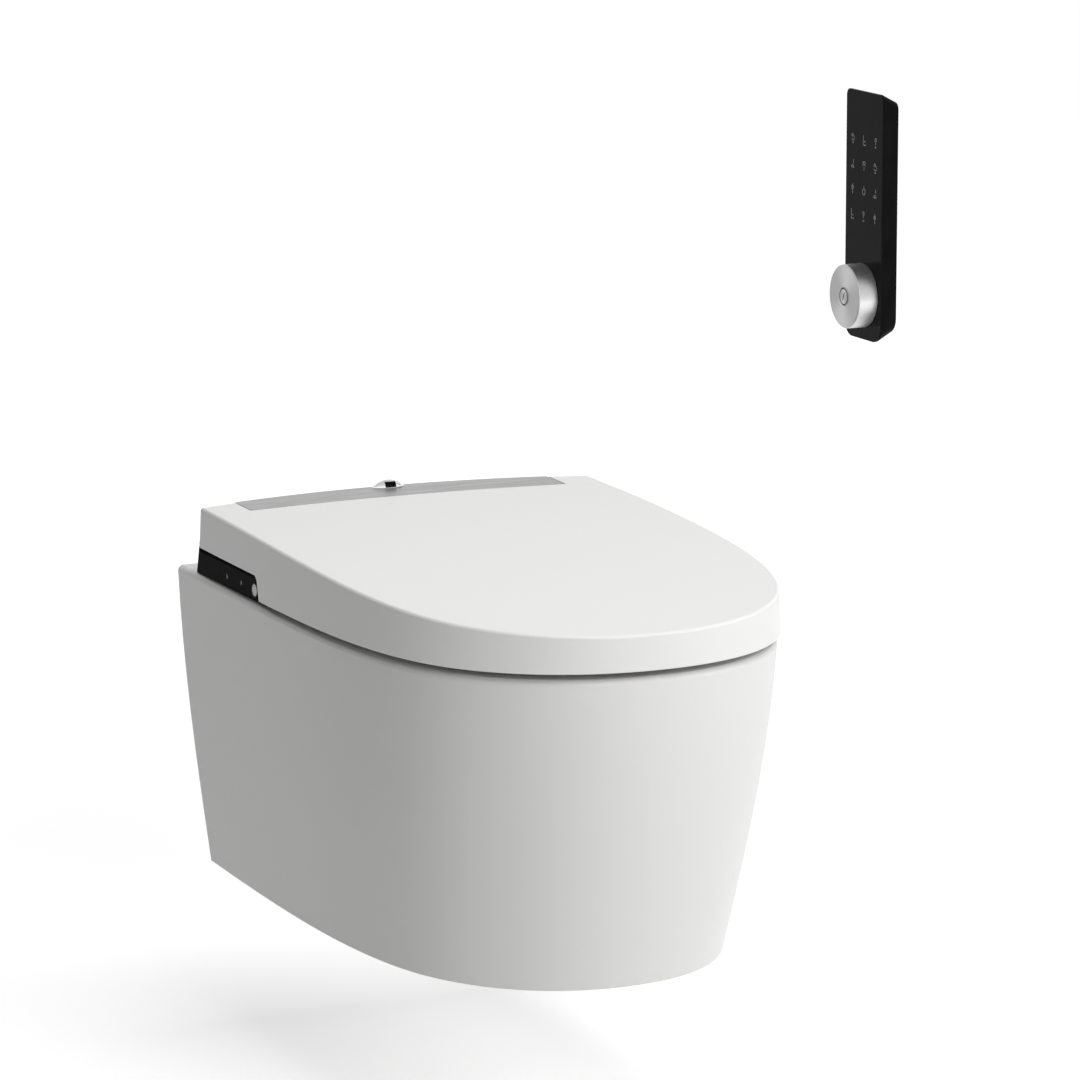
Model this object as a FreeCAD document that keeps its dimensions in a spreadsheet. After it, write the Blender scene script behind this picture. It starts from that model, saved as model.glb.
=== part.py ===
import FreeCAD, Part
import math
import os
import re

import Sketcher
from FreeCAD import Placement, Rotation, Vector

# Wall-hung shower toilet with a heated seat, a wall remote and its holder.
# Millimetres. The origin is midway between the two wall bolts, on the wall plane:
# +X to the right seen from the front, -Y out of the wall, +Z up.
# "Reach" is the distance out of the wall, so it is -Y.

doc = FreeCAD.newDocument("shower_toilet")
sheet = doc.addObject("Spreadsheet::Sheet", "Sizes")

SIZES = {
    # ceramic pan
    "pan_rim": 80.0,             # top of the rim above the wall bolts
    "pan_height": 266.0,
    "pan_rim_width": 368.8,
    "pan_rim_front": 574.6,
    "pan_foot_width": 316.0,
    "pan_foot_front": 521.0,
    "pan_belly": 1.4,            # how late the sides draw in on the way down
    "rim_round": 5.0,
    "bowl_width": 276.0,
    "bowl_back": 200.0,
    "bowl_front": 540.0,
    "bowl_floor": -118.0,
    "sump_width": 104.0,
    "sump_length": 120.0,
    "sump_reach": 320.0,
    "deck_thickness": 22.0,
    "pan_wall": 12.0,
    "bolt_spacing": 180.0,
    "bolt_hole": 18.0,
    "lug_width": 50.0,
    "lug_reach": 40.0,
    "inlet_height": 35.0,
    "inlet_bore": 55.0,
    "inlet_wall": 9.0,
    "outlet_drop": 100.0,
    "outlet_outer": 102.0,
    "outlet_bore": 84.0,
    "outlet_length": 96.0,
    "trap_bore": 62.0,
    "weir_height": -62.0,
    # plate and screws that hold the shower unit on the deck
    "deck_hole_spacing": 155.0,
    "deck_hole": 12.0,
    "deck_hole_reach": 105.0,
    "plate_width": 236.0,
    "plate_length": 84.0,
    "plate_thickness": 1.7,
    "deck_screw": 8.0,
    "deck_screw_head": 13.0,
    "deck_head_height": 5.0,
    "deck_nut": 24.0,
    # shower unit
    "unit_width": 346.0,
    "unit_back": 31.0,            # straight back of the base and the cover
    "unit_front": 192.0,
    "unit_shoulder": 104.0,      # top of the base tray above the wall bolts
    "unit_wall": 2.5,
    "cover_width": 294.0,
    "cover_drop": 9.0,           # cover under the top of the closed lid
    "cover_ledge": 134.6,        # above this the cover's back follows the lid's arc
    "strip_reach_end": 88.0,     # front edge of the metal strip at its ends
    "strip_reach_middle": 78.0,
    "strip_thickness": 1.5,
    "panel_thickness": 5.0,
    "panel_back": 38.0,
    "panel_round": 4.0,
    "pod_width": 31.0,
    "pod_height": 6.8,
    "pod_reach": 39.5,
    "pod_stem": 9.0,
    "pod_window": 10.2,
    # hinge shared by the lid and the seat
    "hinge_reach": 53.0,
    "hinge_height": 124.0,
    "hinge_pin": 8.0,
    "running_gap": 0.05,
    "boss_outer": 15.0,
    "lid_boss_inner": 148.6,
    "lid_boss_length": 10.0,
    "arm_inner": 159.2,
    "arm_width": 11.5,
    "damper_outer": 16.0,
    "damper_length": 26.0,
    # lid
    "lid_width": 370.0,
    "lid_front": 575.2,
    "lid_back": 59.0,            # back corners
    "lid_back_middle": 32.0,     # the back edge bows towards the wall
    "lid_top_back": 140.6,
    "lid_top_front": 115.0,
    "lid_crown": 5.0,
    "lid_bottom": 85.4,
    "lid_wall": 3.2,
    "lid_draft": 2.4,            # degrees
    "lid_round": 2.6,            # edge round the top
    "lid_foot_round": 1.0,
    "lid_joint": 0.6,            # gap between the lid and the metal strip
    "panel_cut_front": 201.0,
    "panel_cut_round": 8.0,
    "liner_thickness": 1.8,
    # seat
    "seat_inset": 7.5,
    "seat_back": 197.0,
    "seat_bottom": 86.0,
    "seat_top_back": 112.0,
    "seat_top_front": 103.5,
    "seat_wall": 3.0,
    "seat_round": 6.0,
    "seat_back_round": 2.0,
    "opening_width": 222.0,
    "opening_back": 236.0,
    "opening_front": 516.0,
    # shower wand
    "wand_outer": 13.0,
    "wand_length": 104.0,
    "wand_tilt": 14.0,           # degrees below level
    "wand_port_height": 94.5,
    "wand_gap": 0.5,
    # side button
    "button_outer": 13.0,
    "button_reach": 172.0,
    "button_height": 89.5,
    "button_travel": 1.0,
    "button_stand": 1.2,
    # remote on the side wall
    "side_wall": 452.0,
    "remote_front": 430.0,
    "remote_reach": 103.5,
    "remote_bottom": 251.5,
    "remote_width": 67.0,
    "remote_height": 220.0,
    "remote_depth": 16.5,
    "remote_taper": 7.5,
    "remote_wall": 2.0,
    "remote_round": 6.0,
    "remote_corner": 14.0,       # lower corners
    "glass_thickness": 2.0,
    "holder_width": 44.0,
    "holder_height": 150.0,
    "holder_thickness": 4.2,
    "magnet_outer": 16.0,
    "cell_outer": 24.5,
    "knob_outer": 56.8,
    "knob_depth": 18.5,
    "knob_height": 290.7,
    "knob_button_outer": 16.0,
    "knob_button_travel": 1.0,
    "spindle_outer": 7.0,
    "buffer_outer": 14.0,
    # shared
    "seat_gap": 0.2,             # between pieces that lie on each other
    "soft_gap": 0.3,
}

for row, (alias, number) in enumerate(SIZES.items(), start=1):
    sheet.set("A%d" % row, alias)
    sheet.set("B%d" % row, str(number))
    sheet.setAlias("B%d" % row, alias)
doc.recompute()

# Plan outlines as shares of (half width, length), from the back corner round to the tip.
LID_PLAN = ((0.988, 0.0), (1.012, 0.380), (0.994, 0.690), (0.751, 0.920), (0.298, 1.0), (0.0, 1.0))
RIM_PLAN = ((0.982, 0.0), (1.011, 0.406), (1.003, 0.694), (0.782, 0.923), (0.308, 1.0), (0.0, 1.0))
FOOT_PLAN = ((0.970, 0.0), (1.025, 0.362), (1.000, 0.673), (0.803, 0.895), (0.354, 1.0), (0.0, 1.0))
SEAT_PLAN = ((0.985, 0.0), (1.012, 0.200), (1.003, 0.580), (0.768, 0.895), (0.302, 1.0), (0.0, 1.0))

NODES = []


# ---------------------------------------------------------------- helpers

def bound(text):
    """The text with every size's name pointing at its cell."""
    def cell(word):
        return "Sizes." + word.group() if word.group() in SIZES else word.group()
    return re.sub(r"[a-z]\w*", cell, str(text))


def size(text):
    """The number that a size, or a sum of sizes, has now."""
    return float(sheet.evalExpression(bound(text)))


def keep(label, item):
    """Give an object its node name and put it on the list of nodes."""
    item.Label = label
    NODES.append(item)
    return item


def feature(label, shape):
    item = doc.addObject("Part::Feature", label)
    item.Shape = shape
    item.Placement = Placement()
    return keep(label, item)


def new_body(label, kept=True):
    body = doc.addObject("PartDesign::Body", label)
    body.Label = label
    if kept:
        NODES.append(body)
    return body


def new_sketch(body, role, x=0, y=0, z=0):
    """A sketch on one of the body's planes, moved in the plane by x, y and off it by z."""
    sketch = body.newObject("Sketcher::SketchObject", body.Name + "_sketch")
    planes = [plane for plane in body.Origin.OriginFeatures if plane.Role == role]
    sketch.AttachmentSupport = [(planes[0], "")]
    sketch.MapMode = "FlatFace"
    for axis, text in (("x", x), ("y", y), ("z", z)):
        sketch.setExpression("AttachmentOffset.Base." + axis, bound(text))
    return sketch


def tie(sketch, kind, *where):
    """Add a sketch constraint whose last item is a text of sizes."""
    *ends, text = where
    number = sketch.addConstraint(Sketcher.Constraint(kind, *ends, size(text)))
    sketch.setExpression("Constraints[%d]" % number, bound(text))


def draw_outline(sketch, points):
    """A closed outline of straight lines with each corner tied to the sheet."""
    corners = [Vector(size(x), size(y), 0) for x, y in points]
    first = sketch.GeometryCount
    count = len(corners)
    for index in range(count):
        sketch.addGeometry(Part.LineSegment(corners[index], corners[(index + 1) % count]), False)
    for index in range(count):
        after = first + (index + 1) % count
        sketch.addConstraint(Sketcher.Constraint("Coincident", first + index, 2, after, 1))
    for index, (x, y) in enumerate(points):
        tie(sketch, "DistanceX", -1, 1, first + index, 1, x)
        tie(sketch, "DistanceY", -1, 1, first + index, 1, y)


def draw_circle(sketch, x, y, diameter):
    centre = Vector(size(x), size(y), 0)
    circle = Part.Circle(centre, Vector(0, 0, 1), size(diameter) / 2)
    number = sketch.addGeometry(circle, False)
    tie(sketch, "Diameter", number, diameter)
    tie(sketch, "DistanceX", -1, 1, number, 3, x)
    tie(sketch, "DistanceY", -1, 1, number, 3, y)


def box_points(x, y, width, height):
    """Corners of a rectangle from its centre, as texts."""
    left = "%s - (%s) / 2" % (x, width)
    right = "%s + (%s) / 2" % (x, width)
    low = "%s - (%s) / 2" % (y, height)
    high = "%s + (%s) / 2" % (y, height)
    return [(left, low), (right, low), (right, high), (left, high)]


def pad(body, sketch, length, reverse=False):
    item = body.newObject("PartDesign::Pad", body.Name + "_pad")
    item.Profile = sketch
    item.setExpression("Length", bound(length))
    item.Reversed = reverse
    doc.recompute()
    return item


def pocket(body, sketch, depth, reverse=False):
    """Cut a pocket, and make sure that it took something away."""
    before = body.Shape.Volume
    item = body.newObject("PartDesign::Pocket", body.Name + "_pocket")
    item.Profile = sketch
    item.setExpression("Length", bound(depth))
    item.Reversed = reverse
    doc.recompute()
    if body.Shape.Volume >= before - 1e-6:
        raise ValueError(body.Label + ": a pocket cuts nothing")
    return item


def spin(body, sketch, axis):
    item = body.newObject("PartDesign::Revolution", body.Name + "_spin")
    item.Profile = sketch
    item.ReferenceAxis = (sketch, [axis])
    item.Angle = 360
    doc.recompute()
    return item


def round_edges(body, radius, chosen):
    """Fillet the edges of the body's tip that the test chooses."""
    base = body.Tip
    edges = base.Shape.Edges
    names = ["Edge%d" % (index + 1) for index, edge in enumerate(edges) if chosen(edge)]
    if not names:
        raise ValueError(body.Label + ": no edge to round")
    item = body.newObject("PartDesign::Fillet", body.Name + "_fillet")
    item.Base = (base, names)
    item.setExpression("Radius", bound(radius))
    doc.recompute()
    return item


def edge_along(axis):
    """A test for straight edges along one axis (0, 1 or 2 for X, Y or Z)."""
    def test(edge):
        if edge.Curve.TypeId != "Part::GeomLine":
            return False
        return abs(abs(edge.Curve.Direction[axis]) - 1) < 1e-6
    return test


def block(label, low, high, kept=True):
    """A box between two corners, each a triple of texts, with the reach as its second."""
    item = doc.addObject("Part::Box", label)
    item.setExpression("Length", bound("(%s) - (%s)" % (high[0], low[0])))
    item.setExpression("Width", bound("(%s) - (%s)" % (high[1], low[1])))
    item.setExpression("Height", bound("(%s) - (%s)" % (high[2], low[2])))
    item.setExpression("Placement.Base.x", bound(low[0]))
    item.setExpression("Placement.Base.y", bound("-(%s)" % high[1]))
    item.setExpression("Placement.Base.z", bound(low[2]))
    item.Label = label
    if kept:
        NODES.append(item)
    return item


def turned_along_y(label, x, z, points, kept=True):
    """A turned piece about an axis out of the wall; points are (reach, radius)."""
    body = new_body(label, kept)
    sketch = new_sketch(body, "YZ_Plane", 0, z, x)
    draw_outline(sketch, [("-(%s)" % reach, radius) for reach, radius in points])
    spin(body, sketch, "H_Axis")
    return body


def turned_along_x(label, reach, z, points, kept=True):
    """A turned piece about a level axis along the wall; points are (x, radius)."""
    body = new_body(label, kept)
    sketch = new_sketch(body, "XZ_Plane", 0, z, reach)
    draw_outline(sketch, points)
    spin(body, sketch, "H_Axis")
    return body


def turned_along_z(label, x, reach, points, kept=True):
    """A turned piece about an upright axis; points are (radius, z)."""
    body = new_body(label, kept)
    sketch = new_sketch(body, "XZ_Plane", x, 0, reach)
    draw_outline(sketch, points)
    spin(body, sketch, "V_Axis")
    return body


def mirrored_pair(label, item):
    """The piece and its mirror image across the middle, as one node."""
    twin = doc.addObject("Part::Mirroring", label + "_twin")
    twin.Source = item
    twin.Normal = Vector(1, 0, 0)
    twin.Base = Vector(0, 0, 0)
    return gathered(label, [item, twin])


def gathered(label, items):
    group = doc.addObject("Part::Compound", label)
    group.Links = items
    doc.recompute()
    return keep(label, group)


def cut_shape(shape, *tools):
    for tool in tools:
        shape = shape.cut(tool)
    return shape


def solid_box(x_low, x_high, reach_low, reach_high, z_low, z_high):
    corner = Vector(x_low, -reach_high, z_low)
    return Part.makeBox(x_high - x_low, reach_high - reach_low, z_high - z_low, corner)


# ------------------------------------------------------- plan outlines and lofts

def half_poles(plan, half_width, back, front, inset):
    """Poles of the right half of an outline, drawn in by the inset."""
    poles = [Vector(across * half_width, -(back + along * (front - back)), 0) for across, along in plan]
    last = len(poles) - 1
    moved = []
    for index, pole in enumerate(poles):
        run = poles[min(index + 1, last)] - poles[max(index - 1, 0)]
        outward = Vector(-run.y, run.x, 0).normalize()
        if index == last - 1:
            outward = Vector(pole.x / half_width, -1, 0)
        moved.append(pole - outward * inset)
    moved[0].y = poles[0].y
    return moved


def half_curve(poles):
    curve = Part.BSplineCurve()
    curve.buildFromPolesMultsKnots(poles, [4, 1, 1, 4], [0, 1 / 3, 2 / 3, 1], False, 3)
    return curve


def plan_wire(plan, half_width, back, front, z, inset=0.0, bow=0.0):
    """A closed D outline at height z; the back edge bows towards the wall by bow."""
    right = [Vector(pole.x, pole.y, z) for pole in half_poles(plan, half_width, back, front, inset)]
    left = [Vector(-pole.x, pole.y, z) for pole in reversed(right)]
    edges = [half_curve(right).toShape(), half_curve(left).toShape()]
    start = left[-1]
    end = right[0]
    if bow:
        middle = Vector(0, start.y + bow, z)
        edges.append(Part.Arc(start, middle, end).toShape())
    else:
        edges.append(Part.LineSegment(start, end).toShape())
    return Part.Wire(edges)


def ellipse_wire(half_width, half_length, reach, z):
    if half_length >= half_width:
        ellipse = Part.Ellipse(Vector(0, -reach, z), half_length, half_width)
        ellipse.AngleXU = math.pi / 2
    else:
        ellipse = Part.Ellipse(Vector(0, -reach, z), half_width, half_length)
    return Part.Wire([ellipse.toShape()])


def lid_top_height(reach):
    """Height of the top of the closed lid at a reach."""
    share = (reach - size("lid_back")) / size("lid_front - lid_back")
    fall = size("lid_top_back - lid_top_front") * share
    return size("lid_top_back") - fall + 4 * size("lid_crown") * share * (1 - share)


def under_top(drop, half_width):
    """The space under the lid's crowned top, lowered by drop."""
    reaches = (-20.0, size("lid_front") / 2, size("lid_front") + 40.0)
    crown = [Vector(-half_width, -reach, lid_top_height(reach) - drop) for reach in reaches]
    low = 40.0
    start = Vector(-half_width, crown[0].y, low)
    end = Vector(-half_width, crown[2].y, low)
    edges = [
        Part.Arc(crown[0], crown[1], crown[2]).toShape(),
        Part.LineSegment(crown[2], end).toShape(),
        Part.LineSegment(end, start).toShape(),
        Part.LineSegment(start, crown[0]).toShape(),
    ]
    return Part.Face(Part.Wire(edges)).extrude(Vector(2 * half_width, 0, 0))


def hinge_drum(half_width, grow):
    """The barrel about the hinge that parts the turning lid from the metal strip."""
    hinge_y = -size("hinge_reach")
    hinge_z = size("hinge_height")
    radii = []
    for reach in (size("strip_reach_end"), size("strip_reach_middle")):
        radii.append(math.hypot(reach + hinge_y, lid_top_height(reach) - hinge_z) + grow)
    at_end, at_middle = radii
    start = Vector(-half_width, hinge_y, hinge_z)
    end = Vector(half_width, hinge_y, hinge_z)
    rise = [start + Vector(0, 0, at_end), Vector(0, hinge_y, hinge_z + at_middle), end + Vector(0, 0, at_end)]
    edges = [
        Part.LineSegment(start, rise[0]).toShape(),
        Part.Arc(rise[0], rise[1], rise[2]).toShape(),
        Part.LineSegment(rise[2], end).toShape(),
        Part.LineSegment(end, start).toShape(),
    ]
    return Part.Face(Part.Wire(edges)).revolve(start, Vector(1, 0, 0), 360)


def pipe_along(points, bend, radius):
    """A round bar along straight runs joined by tangent arcs."""
    edges = []
    start = points[0]
    for before, corner, after in zip(points, points[1:], points[2:]):
        arriving = (corner - before).normalize()
        leaving = (after - corner).normalize()
        half_turn = arriving.getAngle(leaving) / 2
        setback = bend * math.tan(half_turn)
        first = corner - arriving * setback
        second = corner + leaving * setback
        inward = (leaving - arriving).normalize()
        middle = corner + inward * (bend / math.cos(half_turn) - bend)
        edges.append(Part.LineSegment(start, first).toShape())
        edges.append(Part.Arc(first, middle, second).toShape())
        start = second
    edges.append(Part.LineSegment(start, points[-1]).toShape())
    path = Part.Wire(edges)
    direction = (points[1] - points[0]).normalize()
    profile = Part.Wire([Part.Circle(points[0], direction, radius).toShape()])
    return path.makePipeShell([profile], True, False)


# ---------------------------------------------------------------- ceramic pan

def pan_section(share, inset=0.0, z=None):
    """The pan's plan outline at a share of its height, from the rim (0) to the foot (1)."""
    drawn_in = share ** size("pan_belly")
    plan = []
    for (rim_x, rim_y), (foot_x, foot_y) in zip(RIM_PLAN, FOOT_PLAN):
        rim = (rim_x * size("pan_rim_width"), rim_y * size("pan_rim_front"))
        foot = (foot_x * size("pan_foot_width"), foot_y * size("pan_foot_front"))
        plan.append([low + (high - low) * drawn_in for low, high in zip(rim, foot)])
    width = size("pan_rim_width") + size("pan_foot_width - pan_rim_width") * drawn_in
    front = size("pan_rim_front") + size("pan_foot_front - pan_rim_front") * drawn_in
    plan = [(across / width, along / front) for across, along in plan]
    height = size("pan_rim") - share * size("pan_height") if z is None else z
    return plan_wire(plan, width / 2, 0.0, front, height, inset)


def pan_outside():
    shares = (0.0, 0.3, 0.65, 1.0)
    skin = Part.makeLoft([pan_section(share) for share in shares], True, False)
    rim = [edge for edge in skin.Edges
           if edge.BoundBox.ZMin > size("pan_rim") - 1 and edge.BoundBox.YMin < -1]
    return skin.makeFillet(size("rim_round"), rim)


def bowl_space(wall=0.0):
    """The rimless bowl, drawn in from the opening to the sump, or the same grown by a wall."""
    opening = (size("bowl_width") / 2, size("bowl_front - bowl_back") / 2, size("bowl_front + bowl_back") / 2)
    sump = (size("sump_width") / 2, size("sump_length") / 2, size("sump_reach"))
    top = size("pan_rim")
    deep = size("pan_rim - bowl_floor")
    wires = [ellipse_wire(opening[0] + wall, opening[1] + wall, opening[2], top + 2)]
    for share, drawn_in in ((0.35, 0.15), (0.72, 0.52), (1.0, 1.0)):
        values = [high + (low - high) * drawn_in for high, low in zip(opening, sump)]
        height = top - share * deep - (wall if share == 1.0 else 0.0)
        wires.append(ellipse_wire(values[0] + wall, values[1] + wall, values[2], height))
    return Part.makeLoft(wires, True, False)


def pan_hollow():
    """The space inside the pan's outer wall, open to the wall of the room."""
    top = size("pan_rim - deck_thickness")
    floor = size("pan_rim - pan_height + pan_wall")
    wires = []
    for z in (top, (top + floor) / 2, floor):
        share = (size("pan_rim") - z) / size("pan_height")
        wires.append(pan_section(share, size("pan_wall"), z))
    return Part.makeLoft(wires, True, False)


def trap_path(back):
    """The waterway from the sump over the weir to the outlet."""
    drop = -size("outlet_drop")
    weir = size("weir_height")
    return [
        Vector(0, -size("sump_reach"), size("bowl_floor") + size("trap_bore") / 2 + 4),
        Vector(0, -236, weir),
        Vector(0, -168, weir),
        Vector(0, -92, drop),
        Vector(0, -back, drop),
    ]


def make_pan():
    out_of_wall = Vector(0, -1, 0)
    wall = size("pan_wall")
    inlet = Vector(0, 0, size("inlet_height"))
    outlet = Vector(0, 0, -size("outlet_drop"))
    inlet_reach = size("bowl_back") + 30
    lug_top = size("pan_rim - deck_thickness")
    half_lug = size("lug_width") / 2
    inner = [
        bowl_space(wall),
        pipe_along(trap_path(60), 60.0, size("trap_bore") / 2 + wall - 2),
        Part.makeCylinder(size("inlet_bore / 2 + inlet_wall"), inlet_reach, inlet, out_of_wall),
        Part.makeCylinder(size("outlet_outer") / 2, size("outlet_length"), outlet, out_of_wall),
    ]
    for side in (-1, 1):
        x = side * size("bolt_spacing") / 2
        inner.append(solid_box(x - half_lug, x + half_lug, 0, size("lug_reach"), -half_lug, lug_top + 1))
    pan = pan_outside().cut(cut_shape(pan_hollow(), *inner)).cut(bowl_space())
    for side in (-1, 1):
        hole = Vector(side * size("bolt_spacing") / 2, 1, 0)
        pan = pan.cut(Part.makeCylinder(size("bolt_hole") / 2, size("lug_reach") + 2, hole, out_of_wall))
        screw = Vector(side * size("deck_hole_spacing") / 2, -size("deck_hole_reach"), lug_top - 1)
        pan = pan.cut(Part.makeCylinder(size("deck_hole") / 2, size("deck_thickness") + 2, screw))
    bore_start = inlet + Vector(0, 1, 0)
    pan = pan.cut(Part.makeCylinder(size("inlet_bore") / 2, inlet_reach - 50, bore_start, out_of_wall))
    feed = [Vector(0, -inlet_reach + 68, size("inlet_height")), Vector(0, -size("bowl_back") - 35, 52)]
    run = feed[1] - feed[0]
    pan = pan.cut(Part.makeCylinder(14, run.Length, feed[0], run))
    pan = pan.cut(Part.makeCylinder(size("outlet_bore") / 2, 60, outlet + Vector(0, 1, 0), out_of_wall))
    pan = pan.cut(pipe_along(trap_path(30), 60.0, size("trap_bore") / 2))
    feature("ceramic_pan", pan.removeSplitter())


make_pan()

sleeve = turned_along_y("fixing_sleeve", "bolt_spacing / 2", 0, [
    (0, "6.4"), ("lug_reach", "6.4"),
    ("lug_reach", "bolt_hole / 2 - seat_gap"), (0, "bolt_hole / 2 - seat_gap"),
], kept=False)
mirrored_pair("fixing_sleeves", sleeve)

plate = new_body("mounting_plate")
plate_sketch = new_sketch(plate, "XY_Plane", 0, "-deck_hole_reach", "pan_rim + seat_gap")
draw_outline(plate_sketch, box_points("0", "0", "plate_width", "plate_length"))
for place in ("-deck_hole_spacing / 2", "deck_hole_spacing / 2"):
    draw_circle(plate_sketch, place, "0", "deck_screw + 1")
pad(plate, plate_sketch, "plate_thickness")
round_edges(plate, "6", lambda edge: edge_along(2)(edge) and edge.Length < 5)

screw = turned_along_z("deck_screw_one", "deck_hole_spacing / 2", "deck_hole_reach", [
    (0, "pan_rim + 2 * seat_gap + plate_thickness"),
    ("deck_screw_head / 2", "pan_rim + 2 * seat_gap + plate_thickness"),
    ("deck_screw_head / 2", "pan_rim + 2 * seat_gap + plate_thickness + deck_head_height - 1.4"),
    ("deck_screw_head / 2 - 1.5", "pan_rim + 2 * seat_gap + plate_thickness + deck_head_height"),
    (0, "pan_rim + 2 * seat_gap + plate_thickness + deck_head_height"),
], kept=False)
shank_sketch = new_sketch(screw, "XY_Plane", "deck_hole_spacing / 2", "-deck_hole_reach",
                          "pan_rim + 2 * seat_gap + plate_thickness")
draw_circle(shank_sketch, 0, 0, "deck_screw")
pad(screw, shank_sketch, "48", reverse=True)
mirrored_pair("deck_screws", screw)

nut = turned_along_z("deck_nut_one", "deck_hole_spacing / 2", "deck_hole_reach", [
    ("deck_screw / 2 + running_gap", "pan_rim - deck_thickness - seat_gap"),
    ("deck_nut / 2", "pan_rim - deck_thickness - seat_gap"),
    ("deck_nut / 2", "pan_rim - deck_thickness - 3"),
    ("deck_nut / 2 - 4", "pan_rim - deck_thickness - 16"),
    ("deck_screw / 2 + running_gap", "pan_rim - deck_thickness - 16"),
], kept=False)
mirrored_pair("deck_nuts", nut)


# ---------------------------------------------------------------- shower unit

def back_bow(half_width):
    """How far the unit's back edge, an arc like the lid's, bows over a half width."""
    whole = size("lid_back - lid_back_middle")
    half = size("lid_width") / 2
    radius = (half ** 2 + whole ** 2) / (2 * whole)
    return radius - math.sqrt(radius ** 2 - half_width ** 2)


def unit_prism(half_width, inset, low, high, bowed=False):
    """The unit's plan: a straight front, and a back that is straight or bows towards the wall."""
    half = half_width - inset
    front = size("unit_front") - inset
    middle = size("lid_back_middle" if bowed else "unit_back") + inset
    corner = middle + (back_bow(half) if bowed else 0.0)
    points = [Vector(half, -corner, low), Vector(half, -front, low), Vector(-half, -front, low),
              Vector(-half, -corner, low)]
    edges = [Part.LineSegment(a, b).toShape() for a, b in zip(points, points[1:])]
    if bowed:
        edges.append(Part.Arc(points[3], Vector(0, -middle, low), points[0]).toShape())
    else:
        edges.append(Part.LineSegment(points[3], points[0]).toShape())
    return Part.Face(Part.Wire(edges)).extrude(Vector(0, 0, high - low))


def wand_axis():
    """A point at the wand's port and the direction out of it."""
    tilt = math.radians(size("wand_tilt"))
    port = Vector(0, -size("unit_front"), size("wand_port_height"))
    return port, Vector(0, -math.cos(tilt), -math.sin(tilt))


def wand_bar(radius, start, end):
    """A round bar on the wand's axis between two distances from the port."""
    port, out = wand_axis()
    return Part.makeCylinder(radius, end - start, port + out * start, out)


def make_base():
    half = size("unit_width") / 2
    wall = size("unit_wall")
    bottom = size("pan_rim + soft_gap")
    shoulder = size("unit_shoulder")
    floor = size("pan_rim + plate_thickness + 2 * seat_gap")
    base = unit_prism(half, 0, bottom, shoulder)
    base = base.cut(unit_prism(half, wall, floor + wall, shoulder + 1))
    base = base.cut(unit_prism(half, wall, bottom - 1, floor))
    head = size("deck_screw_head") / 2 + 1.5
    head_room = size("deck_head_height + seat_gap")
    for side in (-1, 1):
        place = Vector(side * size("deck_hole_spacing") / 2, -size("deck_hole_reach"), floor)
        base = base.fuse(Part.makeCylinder(head + 1.2, head_room + 1.2, place))
        base = base.cut(Part.makeCylinder(head, head_room, place))
    for x in (-1, 1):
        for reach in (84.0, size("unit_front") - 10):
            place = Vector(x * (half - 12), -reach, floor)
            base = base.fuse(Part.makeCylinder(4.5, shoulder - floor, place))
    base = base.cut(wand_bar(size("wand_outer") / 2 + size("wand_gap"), -40, 20))
    return feature("unit_base", base.removeSplitter())


def cover_solid(inset, drop):
    """The cover's raised middle, at an inset and lowered by drop."""
    half = size("cover_width") / 2
    ledge = size("cover_ledge") - inset
    low = size("unit_shoulder")
    plain = unit_prism(half, inset, low - 1 if inset else low, ledge)
    bowed = unit_prism(half, inset, ledge, size("lid_top_back") + 20, True)
    front = plain.common(under_top(size("cover_drop") + drop, half + 5))
    drum = hinge_drum(half + 5, -size("lid_joint") - inset)
    behind = solid_box(-half - 5, half + 5, -10, size("hinge_reach"), size("hinge_height"), 200)
    rear = plain.fuse(bowed).common(under_top(drop, half + 5)).common(drum.fuse(behind))
    return front.fuse(rear)


def pod_stem(gap):
    """The stem that holds the pod in the strip and the cover, or the hole for it."""
    foot = lid_top_height(size("pod_reach")) + size("seat_gap")
    length = 9.0 + 10 * gap
    start = Vector(0, -size("pod_reach"), foot - 9.0)
    return Part.makeCylinder(size("pod_stem") / 2 + gap, length, start)


def make_cover():
    half = size("unit_width") / 2
    wall = size("unit_wall")
    shoulder = size("unit_shoulder")
    cover = cover_solid(0, 0)
    flange = unit_prism(half, 0, shoulder + size("seat_gap"), shoulder + size("seat_gap") + 1.6)
    middle = unit_prism(size("cover_width") / 2, wall, shoulder - 1, shoulder + 10)
    cover = cover.cut(solid_box(-half, half, 0, 250, shoulder - 2, shoulder + size("seat_gap")))
    cover = cover.fuse(flange.cut(middle)).cut(cover_solid(wall, wall + size("strip_thickness")))
    cover = cover.cut(wand_bar(size("wand_outer") / 2 + size("wand_gap"), -40, 20))
    hinge = Vector(-half, -size("hinge_reach"), size("hinge_height"))
    pin_hole = size("hinge_pin / 2 + running_gap")
    cover = cover.cut(Part.makeCylinder(pin_hole, 2 * half, hinge, Vector(1, 0, 0)))
    cover = cover.cut(strip_solid(0.0, 0.0)).cut(pod_stem(0.3))
    return feature("rear_cover", cover.removeSplitter())


def strip_solid(inset, lift):
    """The brushed strip's space, let into the top of the cover."""
    half = size("cover_width") / 2
    thick = size("strip_thickness")
    outer = unit_prism(half, inset, size("unit_shoulder"), size("lid_top_back") + 20, True)
    drum = hinge_drum(half + 5, -size("lid_joint") - inset)
    behind = solid_box(-half - 5, half + 5, -10, size("hinge_reach"), size("hinge_height"), 200)
    slab = under_top(0, half + 5).cut(under_top(thick - lift, half + 5))
    return outer.common(slab).common(drum.fuse(behind))


def make_strip():
    strip = strip_solid(0.0, size("seat_gap") / 2)
    return feature("metal_strip", strip.cut(pod_stem(0.3)).removeSplitter())


make_base()
make_cover()
make_strip()


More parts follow.
